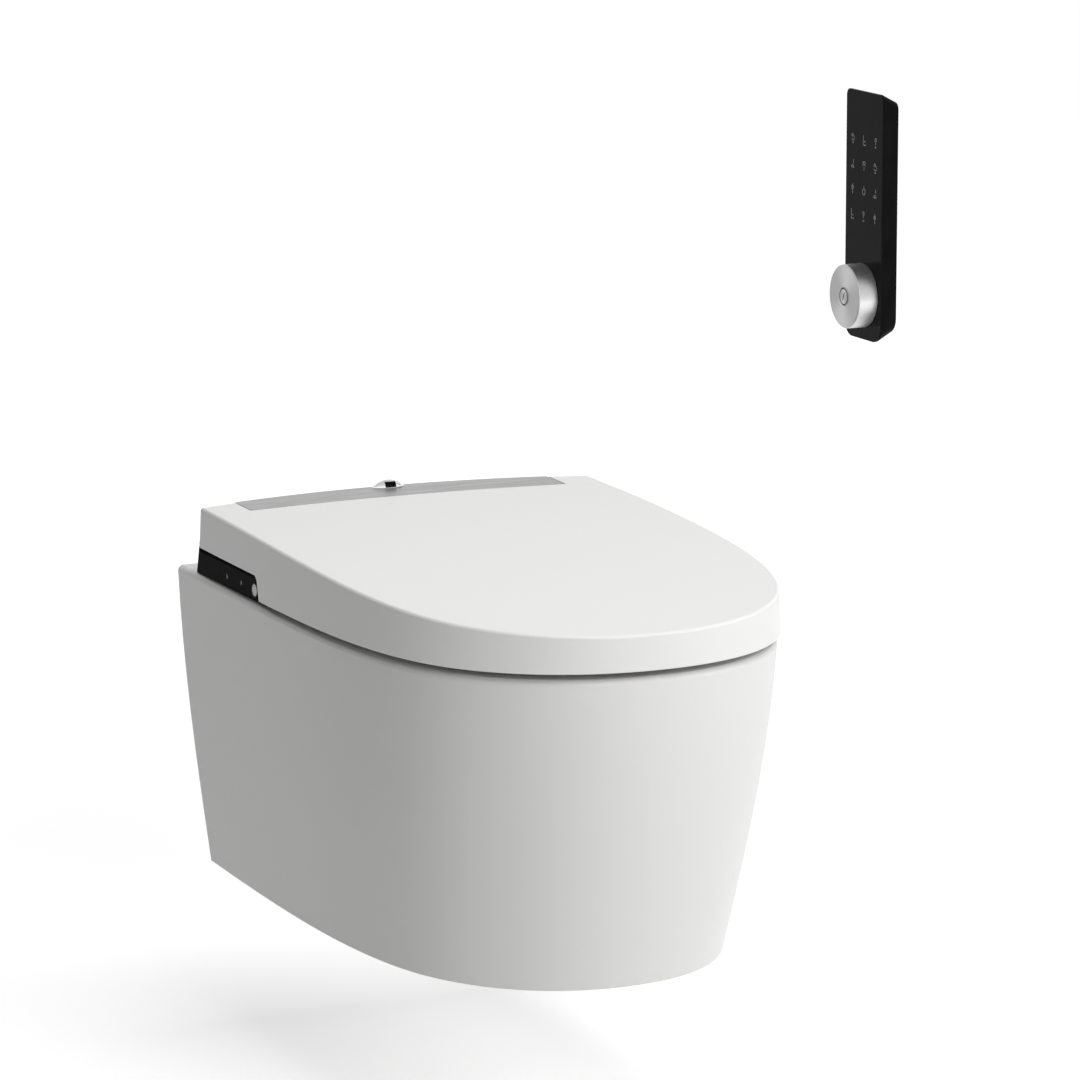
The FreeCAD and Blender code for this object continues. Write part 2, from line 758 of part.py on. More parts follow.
def make_pod():
    """The chrome pod at the back of the strip, a lens lying across it, with a window that looks forward."""
    reach = size("pod_reach")
    foot = lid_top_height(reach) + size("seat_gap")
    half = size("pod_width") / 2
    high = size("pod_height")
    left = Vector(-half, -reach, foot)
    right = Vector(half, -reach, foot)
    rise = Part.Arc(left, Vector(0, -reach, foot + high), right).toShape()
    profile = Part.Face(Part.Wire([rise, Part.LineSegment(right, left).toShape()]))
    lens = profile.revolve(left, Vector(1, 0, 0), 360)
    lens = lens.common(solid_box(-half, half, reach - high, reach + high, foot, foot + high))
    window = size("pod_window") / 2
    recess = solid_box(-window, window, reach + 0.8, reach + high + 1, foot + 0.7, foot + high - 1.4)
    feature("sensor_dome", lens.cut(recess).fuse(pod_stem(0.0)).removeSplitter())
    pane = solid_box(-window + 0.2, window - 0.2, reach + 1.0, reach + 2.4, foot + 0.9, foot + high - 1.6)
    feature("sensor_window", pane.common(lens))


make_pod()

UNIT_SIDE = "unit_width / 2 + seat_gap"


def side_panel(label, sign):
    """A gloss black panel that stands on the deck beside the unit."""
    panel = new_body(label)
    offset = UNIT_SIDE if sign > 0 else "-(%s)" % UNIT_SIDE
    sketch = new_sketch(panel, "YZ_Plane", 0, 0, offset)
    top = "unit_shoulder + 1.5"
    low = "pan_rim + soft_gap"
    draw_outline(sketch, [
        ("-(panel_back)", low), ("-(panel_back + 6)", top),
        ("-(unit_front - 2)", top), ("-(unit_front + 3)", low),
    ])
    pad(panel, sketch, "panel_thickness", reverse=sign < 0)
    round_edges(panel, "panel_round", lambda edge: edge_along(0)(edge) and edge.BoundBox.ZMin > size(top) - 1)
    return panel


side_panel("side_panel_right", 1)
left_panel = side_panel("side_panel_left", -1)
button_hole = new_sketch(left_panel, "YZ_Plane", "-button_reach", "button_height",
                         "-(%s + panel_thickness)" % UNIT_SIDE)
draw_circle(button_hole, 0, 0, "button_outer + 0.6")
pocket(left_panel, button_hole, "panel_thickness + 1", reverse=True)
light_holes = new_sketch(left_panel, "YZ_Plane", 0, "button_height", "-(%s + panel_thickness)" % UNIT_SIDE)
for place in ("-(button_reach - 64)", "-(button_reach - 32)"):
    draw_circle(light_holes, place, 0, "3.4")
pocket(left_panel, light_holes, "panel_thickness + 1", reverse=True)

turned_along_x("side_button", "button_reach", "button_height", [
    ("-(%s + panel_thickness + button_stand)" % UNIT_SIDE, 0),
    ("-(%s + panel_thickness + button_stand)" % UNIT_SIDE, "button_outer / 2 - 0.8"),
    ("-(%s + panel_thickness + button_stand - 0.8)" % UNIT_SIDE, "button_outer / 2"),
    ("-(%s + button_travel + 0.3)" % UNIT_SIDE, "button_outer / 2"),
    ("-(%s + button_travel + 0.3)" % UNIT_SIDE, 0),
])

lights = []
for number, place in enumerate(("button_reach - 64", "button_reach - 32")):
    lights.append(turned_along_x("status_light_%d" % number, place, "button_height", [
        ("-(%s + panel_thickness)" % UNIT_SIDE, 0), ("-(%s + panel_thickness)" % UNIT_SIDE, "1.5"),
        ("-(%s)" % UNIT_SIDE, "1.5"), ("-(%s)" % UNIT_SIDE, 0),
    ], kept=False))
gathered("status_lights", lights)

# hinge shafts: the left one turns with the lid, the right one with the seat
SHAFT_INNER = "cover_width / 2 - unit_wall - damper_length + 8"
SHAFT_OUTER = "arm_inner + arm_width"
for label, sign in (("lid_shaft", "-"), ("seat_shaft", "")):
    turned_along_x(label, "hinge_reach", "hinge_height", [
        ("%s(%s)" % (sign, SHAFT_INNER), 0), ("%s(%s)" % (sign, SHAFT_OUTER), 0),
        ("%s(%s)" % (sign, SHAFT_OUTER), "hinge_pin / 2"), ("%s(%s)" % (sign, SHAFT_INNER), "hinge_pin / 2"),
    ])
DAMPER_OUT = "cover_width / 2 - unit_wall - seat_gap"
DAMPER_IN = "cover_width / 2 - unit_wall - seat_gap - damper_length"
for label, sign in (("lid_damper", "-"), ("seat_damper", "")):
    turned_along_x(label, "hinge_reach", "hinge_height", [
        ("%s(%s)" % (sign, DAMPER_IN), 0),
        ("%s(%s)" % (sign, DAMPER_IN), "damper_outer / 2"),
        ("%s(%s)" % (sign, DAMPER_OUT), "damper_outer / 2"),
        ("%s(%s)" % (sign, DAMPER_OUT), "hinge_pin / 2 + running_gap"),
        ("%s(%s - 0.5)" % (sign, SHAFT_INNER), "hinge_pin / 2 + running_gap"),
        ("%s(%s - 0.5)" % (sign, SHAFT_INNER), 0),
    ])

FLOOR = "pan_rim + plate_thickness + 3 * seat_gap + unit_wall"

heater = block("water_heater_box", ("-138", "128", FLOOR), ("-52", "184", FLOOR + " + 30"), kept=False)
doc.recompute()
heater_round = doc.addObject("Part::Fillet", "water_heater")
heater_round.Base = heater
heater_round.Edges = [(number + 1, 5.0, 5.0) for number in range(12)]
doc.recompute()
keep("water_heater", heater_round)

pump = turned_along_x("water_pump", "104", FLOOR + " + 20.5", [
    ("-138", 0), ("-138", "9"), ("-134", "9"), ("-134", "16.5"), ("-88", "16.5"), ("-88", "13"),
    ("-80", "13"), ("-80", "16.5"), ("-60", "16.5"), ("-60", "5"), ("-50", "5"), ("-50", 0),
])

pump_foot = new_sketch(pump, "XY_Plane", "-112", "-104", FLOOR)
draw_outline(pump_foot, box_points("0", "0", "26", "20"))
pad(pump, pump_foot, "6")

valves = new_body("valve_block")
valve_sketch = new_sketch(valves, "XY_Plane", "-30", "-140", FLOOR)
draw_outline(valve_sketch, box_points("0", "0", "26", "60"))
pad(valves, valve_sketch, "18")
for step in ("-20", "0", "20"):
    coil_sketch = new_sketch(valves, "XY_Plane", "-30", "-140 + %s" % step, FLOOR + " + 17")
    draw_circle(coil_sketch, 0, 0, "14")
    pad(valves, coil_sketch, "13")

supply = new_body("power_supply")
supply_sketch = new_sketch(supply, "XY_Plane", "96", "-152", FLOOR)
draw_outline(supply_sketch, box_points("0", "0", "88", "60"))
pad(supply, supply_sketch, "28")
round_edges(supply, "3", edge_along(2))

turned_along_x("heater_hose", "140", FLOOR + " + 9", [
    ("-52 + seat_gap", 0), ("-52 + seat_gap", 4), ("-43 - seat_gap", 4), ("-43 - seat_gap", 0),
])

board = block("control_board_sheet", ("30", "76", FLOOR + " + 6"), ("138", "116", FLOOR + " + 7.6"),
              kept=False)
parts_on_board = [board]
for number, (x, reach, length, depth, high) in enumerate((
        (40, 82, 16, 16, 6), (64, 84, 12, 24, 10), (88, 80, 30, 12, 4), (122, 84, 10, 26, 12))):
    parts_on_board.append(block(
        "board_item_%d" % number, (str(x), str(reach), FLOOR + " + 7.6"),
        (str(x + length), str(reach + depth), FLOOR + " + 7.6 + %d" % high), kept=False))
for number, (x, reach) in enumerate(((34, 80), (34, 112), (134, 80), (134, 112))):
    post = doc.addObject("Part::Cylinder", "board_post_%d" % number)
    post.Radius = 2.5
    post.Height = 6
    post.setExpression("Placement.Base.x", bound(str(x)))
    post.setExpression("Placement.Base.y", bound(str(-reach)))
    post.setExpression("Placement.Base.z", bound(FLOOR))
    parts_on_board.append(post)
board_fuse = doc.addObject("Part::MultiFuse", "control_board")
board_fuse.Shapes = parts_on_board
doc.recompute()
keep("control_board", board_fuse)


# ---------------------------------------------------------------- shower wand

def make_wand():
    radius = size("wand_outer") / 2
    length = size("wand_length")
    tube = wand_bar(radius, -length, -14.2)
    tube = tube.cut(wand_bar(radius - 2, -length - 1, -24))
    feature("wand_tube", tube)
    nozzle = wand_bar(radius, -14.0, -2.2)
    port, out = wand_axis()
    up = Vector(0, -out.z, out.y) * -1
    for step in (-10.5, -7.5, -4.5):
        for x in (-2.0, 2.0):
            start = port + out * step + Vector(x, 0, 0) + up * (radius - 3)
            nozzle = nozzle.cut(Part.makeCylinder(0.6, 6, start, up))
    feature("wand_nozzle", nozzle)
    feature("wand_cap", wand_bar(radius + size("wand_gap") - 0.3, -2.0, 0.0))
    make_guide(radius, length)


def make_guide(radius, length):
    """The open trough that the wand slides in, on a foot that stands in the unit's base."""
    port, out = wand_axis()
    tilted = Placement(port, Rotation(Vector(1, 0, 0), size("wand_tilt")))
    over_axis = Part.makeBox(60, length + 60, 60, Vector(-30, -30, 2))
    over_axis.Placement = tilted
    over_foot = Part.makeBox(60, length + 60, 60, Vector(-30, -30, -radius - 1))
    over_foot.Placement = tilted
    trough = wand_bar(radius + 3, -length + 6, -6).cut(over_axis)
    foot = solid_box(-4, 4, size("unit_front") - length + 16, size("unit_front") - 12, size(FLOOR), 130)
    guide = trough.fuse(foot.cut(over_foot)).cut(wand_bar(radius + 0.4, -length, 0))
    feature("wand_guide", guide.removeSplitter())


make_wand()


# ---------------------------------------------------------------- lid

def lid_wire(z, inset):
    drawn = (z - 128.0) * math.tan(math.radians(size("lid_draft"))) + inset
    bow = size("lid_back - lid_back_middle")
    return plan_wire(LID_PLAN, size("lid_width") / 2, size("lid_back"), size("lid_front"), z, drawn, bow)


def lid_prism(inset, low, high):
    return Part.makeLoft([lid_wire(low, inset), lid_wire(high, inset)], True, True)


def make_lid():
    half = size("lid_width") / 2 + 5
    wall = size("lid_wall")
    bottom = size("lid_bottom")
    lid = lid_prism(0.0, bottom, 150).common(under_top(0, half))
    top_edges = [edge for edge in lid.Edges if edge.BoundBox.ZMin > size("lid_top_front") - 1]
    lid = lid.makeFillet(size("lid_round"), top_edges)
    low_edges = [edge for edge in lid.Edges if edge.BoundBox.ZMax < bottom + 0.1]
    lid = lid.makeFillet(size("lid_foot_round"), low_edges)
    back_half = size("lid_width") * LID_PLAN[0][0] / 2 - wall - 1.5
    open_back = solid_box(-back_half, back_half, 10, size("lid_back") + 20, bottom - 5, 150)
    hollow = lid_prism(wall, bottom - 5, 150).fuse(open_back)
    lid = lid.cut(hollow.common(under_top(wall + 0.3, half)))
    notch_half = size("cover_width") / 2 + 1.0
    behind = solid_box(-notch_half, notch_half, -10, size("hinge_reach"), 60, 200)
    lid = lid.cut(hinge_drum(notch_half, 0.0).fuse(behind))
    front = size("panel_cut_front")
    step = size("unit_shoulder") + 2
    radius = size("panel_cut_round")
    corners = [Vector(-200, 0, 60), Vector(-200, -front - 9, 60), Vector(-200, -front + 8, step),
               Vector(-200, 0, step)]
    window = Part.Face(Part.makePolygon(corners + [corners[0]])).extrude(Vector(400, 0, 0))
    bend = [edge for edge in window.Edges
            if edge_along(0)(edge) and edge.BoundBox.ZMin > step - 1 and edge.BoundBox.YMax < -50]
    lid = lid.cut(window.makeFillet(radius, bend))
    for side in (-1, 1):
        inner = size("lid_boss_inner")
        outer = inner + size("lid_boss_length")
        start = Vector(side * inner, -size("hinge_reach"), size("hinge_height"))
        along = Vector(side, 0, 0)
        boss = Part.makeCylinder(size("boss_outer") / 2, outer - inner, start, along)
        low, high = sorted((side * inner, side * outer))
        behind, ahead = size("hinge_reach") - 6, size("hinge_reach") + 8
        web = solid_box(low, high, behind, ahead, size("hinge_height"), 139)
        web = web.common(under_top(wall, half))
        lid = lid.fuse(boss.fuse(web))
        lid = lid.cut(Part.makeCylinder(size("hinge_pin / 2 + running_gap"), 30, start - along * 5, along))
    feature("lid_shell", lid.removeSplitter())
    liner_top = wall + 0.3 + size("seat_gap")
    liner = lid_prism(wall + 3.0, bottom, 150).common(under_top(liner_top, half))
    liner = liner.cut(under_top(liner_top + size("liner_thickness"), half + 5))
    liner = liner.cut(solid_box(-200, 200, -20, 100, 40, 200))
    feature("lid_liner", liner.removeSplitter())


make_lid()


# ---------------------------------------------------------------- seat

def seat_top_height(reach):
    share = (reach - size("seat_back")) / size("lid_front - seat_back")
    return size("seat_top_back") - size("seat_top_back - seat_top_front") * share


def seat_wire(z, inset):
    half = size("lid_width") / 2 - size("seat_inset")
    front = size("lid_front") - size("seat_inset")
    return plan_wire(SEAT_PLAN, half, size("seat_back"), front, z, inset)


def under_seat_top(drop):
    near = size("seat_back") - 200
    far = size("lid_front") + 40
    profile = [Vector(-220, -near, 40), Vector(-220, -near, seat_top_height(near) - drop),
               Vector(-220, -far, seat_top_height(far) - drop), Vector(-220, -far, 40)]
    return Part.Face(Part.makePolygon(profile + [profile[0]])).extrude(Vector(440, 0, 0))


def seat_opening(inset, low, high):
    half = size("opening_width") / 2 + inset
    length = size("opening_front - opening_back") / 2 + inset
    reach = size("opening_front + opening_back") / 2
    ends = [ellipse_wire(half, length, reach, height) for height in (low, high)]
    return Part.makeLoft(ends, True, True)


def seat_ring(inset, low, high, drop):
    ring = Part.makeLoft([seat_wire(low, inset), seat_wire(high, inset)], True, True)
    back_cut = solid_box(-300, 300, 0, size("seat_back") + inset, 0, 300)
    return cut_shape(ring.common(under_seat_top(drop)), seat_opening(inset, low - 5, high + 5), back_cut)


def seat_arm(near, far):
    """The arm that carries the seat over the unit's shoulder to the hinge, between two x."""
    hinge = Vector(0, -size("hinge_reach"), size("hinge_height"))
    radius = size("boss_outer") / 2
    floor = size("seat_bottom + seat_wall")
    back = size("seat_back")
    inside = back + size("seat_wall") + 0.5
    end = inside + 40
    profile = [(-hinge.y - 1, hinge.z + radius - 0.4), (-hinge.y + 58, 121.0),
               (back, seat_top_height(back) - 3.6),
               (end, seat_top_height(end) - 7.5), (end, floor), (inside, floor), (inside, floor + 17.5),
               (back - 6, floor + 17.5), (-hinge.y - 1, hinge.z - radius + 0.4)]
    points = [Vector(near, -reach, z) for reach, z in profile]
    arm = Part.Face(Part.makePolygon(points + points[:1])).extrude(Vector(far - near, 0, 0))
    return arm.fuse(Part.makeCylinder(radius, far - near, hinge + Vector(near, 0, 0), Vector(1, 0, 0)))


def make_seat():
    low = size("seat_bottom")
    high = 130.0
    wall = size("seat_wall")
    ring = seat_ring(0.0, low, high, 0.0)
    for radius, along_back in ((size("seat_round"), False), (size("seat_back_round"), True)):
        chosen = [edge for edge in ring.Edges if edge.BoundBox.ZMin > size("seat_top_front") - 1
                  and (edge.Curve.TypeId == "Part::GeomLine") == along_back]
        ring = ring.makeFillet(radius, chosen)
    inside = seat_ring(wall, low - 1, high, wall)
    channel_half = size("wand_outer") / 2 + 3
    channel = solid_box(-channel_half, channel_half, 150, size("opening_back") + 20, low - 2, low + 17.4)
    channel_wall = solid_box(-channel_half - wall, channel_half + wall, 150, size("opening_back") + 20,
                             low - 2, 200)
    top = ring.cut(inside.cut(channel_wall)).cut(channel)
    tray = seat_ring(wall + size("seat_gap"), low, low + wall, 0.0).cut(channel_wall)
    back = size("seat_back")
    for side in (-1, 1):
        near, far = sorted((side * size("arm_inner"), side * size("arm_inner + arm_width")))
        tray = tray.fuse(seat_arm(near, far))
        bore = Vector(near - 5, -size("hinge_reach"), size("hinge_height"))
        pin_hole = size("hinge_pin / 2 + running_gap")
        tray = tray.cut(Part.makeCylinder(pin_hole, far - near + 10, bore, Vector(1, 0, 0)))
        gap = size("seat_gap")
        slot = solid_box(near - gap, far + gap, back - 5, back + wall + 2, low + 20.3,
                         seat_top_height(back + wall) - wall)
        top = top.cut(slot)
    feature("seat_top", top.removeSplitter())
    return tray.removeSplitter()


feature("seat_tray", make_seat())


def make_seat_inside():
    """The heating sheet under the seat's top, and the presence sensor below it."""
    wall = size("seat_wall")
    low = size("seat_bottom + seat_wall")
    gap = size("seat_gap")
    channel_half = size("wand_outer") / 2 + 3 + wall + gap
    channel = solid_box(-channel_half, channel_half, 150, size("opening_back") + 20, 0, 200)
    sheet_ring = seat_ring(wall + 6, low, 130.0, wall + gap).cut(under_seat_top(wall + gap + 0.8))
    feature("seat_heater", sheet_ring.cut(channel).removeSplitter())
    reach = size("opening_back + opening_front") / 2
    top = seat_top_height(reach + 9) - wall - gap - 1.0
    x = -(size("opening_width") / 2 + 26)
    feature("presence_sensor", solid_box(x - 11, x + 11, reach - 9, reach + 9, low + 0.3, top))


make_seat_inside()


def buffer_pair(label, x, reach, low, high, top_outer):
    """One rubber foot and its mirror image; texts in, shapes out."""
    foot = turned_along_z(label, x, reach, [
        (0, low), ("buffer_outer / 2 - 1", low), ("buffer_outer / 2", "(%s) + 1" % low),
        (top_outer, high), (0, high),
    ], kept=False)
    twin = doc.addObject("Part::Mirroring", label + "_twin")
    twin.Source = foot
    twin.Normal = Vector(1, 0, 0)
    return [foot, twin]


seat_feet = []
for number, (x, reach) in enumerate(((151, 400), (100, 516))):
    seat_feet += buffer_pair("seat_foot_%d" % number, str(x), str(reach), "pan_rim + soft_gap",
                             "seat_bottom - seat_gap", "buffer_outer / 2")
gathered("seat_buffers", seat_feet)

lid_feet = []
for number, (x, reach) in enumerate(((144, 400), (100, 506))):
    under_lid = lid_top_height(reach + 8) - size("lid_wall + liner_thickness + 2 * seat_gap") - 0.5
    lid_feet += buffer_pair("lid_foot_%d" % number, str(x), str(reach),
                            "%.3f" % (seat_top_height(reach - 8) + size("soft_gap")),
                            "%.3f" % under_lid, "buffer_outer / 2")
gathered("lid_buffers", lid_feet)


# ---------------------------------------------------------------- remote on the side wall

def x_wire(x, half_width, low, high, corner, foot_corner):
    """A rounded outline in the plane at x, about the remote's middle."""
    middle = -size("remote_reach")
    corners = ((1, high, corner), (-1, high, corner), (-1, low, foot_corner), (1, low, foot_corner))
    edges = []
    points = []
    for side, z, radius in corners:
        up = 1 if z == high else -1
        centre = Vector(x, middle + side * (half_width - radius), z - up * radius)
        on_side = centre + Vector(0, side * radius, 0)
        on_end = centre + Vector(0, 0, up * radius)
        mid = centre + Vector(0, side, up).normalize() * radius
        order = (on_side, mid, on_end) if side * up > 0 else (on_end, mid, on_side)
        points.append(order)
    for index, order in enumerate(points):
        edges.append(Part.Arc(*order).toShape())
        edges.append(Part.LineSegment(order[2], points[(index + 1) % 4][0]).toShape())
    return Part.Wire(edges)


def remote_loft(front, back, inset):
    """The remote's housing between two planes, drawn in towards its back."""
    depth = size("remote_depth - glass_thickness")
    start = size("remote_front + glass_thickness")
    wires = []
    for x in (front, back):
        share = (x - start) / depth
        drawn = inset + size("remote_taper") * share
        half = size("remote_width") / 2 - inset - 1.5 * share
        low = size("remote_bottom") + drawn
        high = size("remote_bottom + remote_height") - drawn
        wires.append(x_wire(x, half, low, high,
                            size("remote_round") - inset / 2, size("remote_corner") - inset / 2))
    return Part.makeLoft(wires, True, True)


def disc(x_low, x_high, radius, z):
    return Part.makeCylinder(radius, x_high - x_low, Vector(x_low, -size("remote_reach"), z), Vector(1, 0, 0))


KNOB_Z = size("knob_height")
GLASS_BACK = size("remote_front + glass_thickness")
REMOTE_BACK = size("remote_front + remote_depth")
CELL_Z = size("remote_bottom + remote_height") - 62


def make_remote():
    gap = size("seat_gap")
    wall = size("remote_wall")
    spindle = size("spindle_outer") / 2
    outline = x_wire(size("remote_front"), size("remote_width") / 2, size("remote_bottom"),
                     size("remote_bottom + remote_height"), size("remote_round"), size("remote_corner"))
    glass = Part.Face(outline).extrude(Vector(size("glass_thickness"), 0, 0))
    feature("remote_glass", glass.cut(disc(size("remote_front") - 1, GLASS_BACK + 1, spindle + 0.3, KNOB_Z)))
    shell = remote_loft(GLASS_BACK + gap, REMOTE_BACK, 0.0)
    shell = shell.cut(remote_loft(GLASS_BACK - 1, REMOTE_BACK - wall, wall))
    cell = size("cell_outer") / 2
    shell = shell.cut(disc(REMOTE_BACK - wall - 1, REMOTE_BACK + 1, cell + 3, CELL_Z))
    feature("remote_shell", shell)
    cover = disc(REMOTE_BACK - wall + 0.2, REMOTE_BACK - 0.2, cell + 2.7, CELL_Z)
    slot = solid_box(REMOTE_BACK - 1, REMOTE_BACK, size("remote_reach") - 7, size("remote_reach") + 7,
                     CELL_Z - 1, CELL_Z + 1)
    feature("battery_cover", cover.cut(slot))
    feature("remote_battery", disc(REMOTE_BACK - wall - 5.2, REMOTE_BACK - wall - 0.1, cell, CELL_Z))
    make_remote_inside(spindle, cell)


def make_remote_inside(spindle, cell):
    reach = size("remote_reach")
    top = size("remote_bottom + remote_height")
    board_front = GLASS_BACK + 1.6
    board_back = board_front + 1.6
    board = solid_box(board_front, board_back, reach - 29, reach + 29, size("remote_bottom") + 10, top - 10)
    for row in range(4):
        z = size("knob_height") + 71 + 22 * row
        for column in (-1, 0, 1):
            centre = reach + column * 21
            switch = solid_box(GLASS_BACK + 0.4, board_front, centre - 3, centre + 3, z - 3, z + 3)
            board = board.fuse(switch)
    for low, high, half in ((40, 55, 9), (78, 84, 14), (112, 126, 7)):
        chip = solid_box(board_back, board_back + 1.8, reach - half, reach + half,
                         size("remote_bottom") + low, size("remote_bottom") + high)
        board = board.fuse(chip)
    feature("remote_board", board.removeSplitter())
    plate = solid_box(REMOTE_BACK - size("remote_wall") - 1.1, REMOTE_BACK - size("remote_wall") - 0.2,
                      reach - 20, reach + 20, size("remote_bottom") + 30, CELL_Z - cell - 6)
    feature("remote_plate", plate)
    holder_low = size("remote_bottom + remote_height / 2 - holder_height / 2")
    holder_high = holder_low + size("holder_height")
    front = REMOTE_BACK + size("seat_gap")
    back = front + size("holder_thickness")
    half = size("holder_width") / 2
    holder = Part.Face(x_wire(front, half, holder_low, holder_high, 6.0, 6.0))
    holder = holder.extrude(Vector(back - front, 0, 0))
    magnets = []
    for z in (holder_low + 40, holder_low + 92):
        holder = holder.cut(disc(front - 1, front + 2.4, size("magnet_outer") / 2 + 0.2, z))
        magnets.append(disc(front + 0.1, front + 2.2, size("magnet_outer") / 2, z))
    feature("wall_holder", holder)
    feature("holder_magnets", Part.Compound(magnets))
    pad_face = Part.Face(x_wire(back + size("seat_gap"), half - 4, holder_low + 4, holder_high - 4, 5.0, 5.0))
    feature("holder_pad", pad_face.extrude(Vector(size("side_wall") - back - size("seat_gap"), 0, 0)))


make_remote()


# ---------------------------------------------------------------- knob on the remote

KNOB_FRONT = "remote_front - knob_depth"
HUB_FRONT = "remote_front - 9.5"
HUB_BACK = "remote_front - 3"
turned_along_x("knob_ring", "remote_reach", "knob_height", [
    (KNOB_FRONT, "knob_button_outer / 2 + 0.3"),
    (KNOB_FRONT, "knob_outer / 2 - 0.9"),
    (KNOB_FRONT + " + 0.9", "knob_outer / 2"),
    ("remote_front - soft_gap", "knob_outer / 2"),
    ("remote_front - soft_gap", "knob_outer / 2 - 2.4"),
    (HUB_BACK + " - 3", "knob_outer / 2 - 2.4"),
    (HUB_BACK + " - 3", "spindle_outer / 2 + 3"),
    (HUB_BACK, "spindle_outer / 2 + 3"),
    (HUB_BACK, "spindle_outer / 2 + running_gap"),
    (HUB_FRONT, "spindle_outer / 2 + running_gap"),
    (HUB_FRONT, "knob_button_outer / 2 + 0.3"),
])
turned_along_x("knob_spindle", "remote_reach", "knob_height", [
    (HUB_FRONT + " - 1.4", 0), (HUB_FRONT + " - 1.4", "spindle_outer / 2"),
    ("remote_front + glass_thickness + seat_gap", "spindle_outer / 2"),
    ("remote_front + glass_thickness + seat_gap", 8),
    ("remote_front + glass_thickness + 1.4", 8), ("remote_front + glass_thickness + 1.4", 0),
])
turned_along_x("knob_clip", "remote_reach", "knob_height", [
    (HUB_FRONT + " - 1.2", "spindle_outer / 2 + 0.02"), (HUB_FRONT + " - 1.2", "spindle_outer / 2 + 2.2"),
    (HUB_FRONT + " - 0.2", "spindle_outer / 2 + 2.2"), (HUB_FRONT + " - 0.2", "spindle_outer / 2 + 0.02"),
])
turned_along_x("knob_button", "remote_reach", "knob_height", [
    (KNOB_FRONT + " - 0.6", 0), (KNOB_FRONT + " - 0.6", "knob_button_outer / 2 - 0.8"),
    (KNOB_FRONT + " + 0.2", "knob_button_outer / 2"),
    (HUB_FRONT + " - 1.4 - soft_gap - knob_button_travel", "knob_button_outer / 2"),
    (HUB_FRONT + " - 1.4 - soft_gap - knob_button_travel", 0),
])

doc.recompute()


# ---------------------------------------------------------------- write the nodes

def write_nodes():
    os.makedirs("parts", exist_ok=True)
    doc.recompute()
    for item in doc.Objects:
        if {"Invalid", "Error"} & set(item.State):
            raise ValueError(item.Name + " is " + ", ".join(item.State))
    labels = [item.Label for item in NODES]
    if len(labels) != len(set(labels)):
        raise ValueError("two nodes share a name")
    for item in NODES:
        shape = item.Shape
        if shape.isNull() or not shape.isValid() or not shape.Solids:
            raise ValueError(item.Label + " is no valid solid")
        shape.exportStep("parts/" + item.Label + ".step")
        print("%-24s solids %d  volume %.0f" % (item.Label, len(shape.Solids), shape.Volume))
    print(len(NODES), "nodes")


write_nodes()
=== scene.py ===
import math

import bmesh
import bpy
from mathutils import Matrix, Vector


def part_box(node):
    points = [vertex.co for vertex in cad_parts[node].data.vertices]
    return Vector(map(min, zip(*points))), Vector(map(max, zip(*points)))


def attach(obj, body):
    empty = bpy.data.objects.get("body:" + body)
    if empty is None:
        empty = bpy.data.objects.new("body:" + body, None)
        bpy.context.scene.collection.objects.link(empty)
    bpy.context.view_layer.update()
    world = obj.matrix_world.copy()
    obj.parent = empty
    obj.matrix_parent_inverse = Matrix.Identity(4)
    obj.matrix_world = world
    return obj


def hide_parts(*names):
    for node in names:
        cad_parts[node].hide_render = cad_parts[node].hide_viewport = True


# Wall-hung shower toilet with a heated seat and a remote on the side wall.
# Metres; +Z up, -Y out of the wall, +X to the right seen from the front.

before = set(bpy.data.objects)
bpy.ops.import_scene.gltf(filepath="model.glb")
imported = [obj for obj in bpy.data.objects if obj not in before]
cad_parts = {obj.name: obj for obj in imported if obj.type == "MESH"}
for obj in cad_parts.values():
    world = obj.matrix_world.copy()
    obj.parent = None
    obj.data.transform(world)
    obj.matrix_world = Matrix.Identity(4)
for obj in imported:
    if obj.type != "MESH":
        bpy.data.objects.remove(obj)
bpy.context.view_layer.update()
scene = bpy.context.scene

MM = 0.001
FLOOR_LEVEL = -0.33          # the pan hangs clear of the floor
FLOOR_HALF = 30.0            # half the floor's width


# ---------------------------------------------------------------- camera, light and room

VIEW_TURN = -24.8            # degrees from the front, towards the right
VIEW_RISE = 11.11            # degrees above level
VIEW_TARGET = (0.02945, -0.290, 0.1362)
VIEW_DISTANCE = 4.7
VIEW_REACH = 60.0            # past the floor's far edge
FOCAL_LENGTH = 188.46        # millimetres, as is the sensor's width
SENSOR_WIDTH = 36.0

LAMP_TARGET = (0.0, -0.3, 0.05)
LAMP_WIDTH = 2.2
# Name, degrees from the front towards the right, degrees above level, distance, watts.
LAMPS = (
    ("front_lamp", 0.0, 22.0, 4.0, 51.5),
    ("side_lamp", 55.0, 22.0, 4.0, 58.0),
    ("top_lamp", 20.0, 80.0, 3.0, 57.0),
)

SOFT_LIGHT = 0.05            # even light from all round
MIRRORED_TOP = 0.6           # what mirrors see overhead, against white near the horizon
MIRRORED_RISE = (0.25, 0.95)     # where that change starts and ends, as the upward part of the direction

FLOOR_GREY = 0.80
FLOOR_LIFT = (0.58, 0.95)    # light added under the object and far from it
FLOOR_LIFT_REACH = (0.6, 2.6)    # distances between which it rises


def way_out(turn, rise):
    """The direction out of the object, turned from the front towards the right and raised, in degrees."""
    turn = math.radians(turn)
    rise = math.radians(rise)
    return Vector((math.cos(rise) * math.sin(turn), -math.cos(rise) * math.cos(turn), math.sin(rise)))


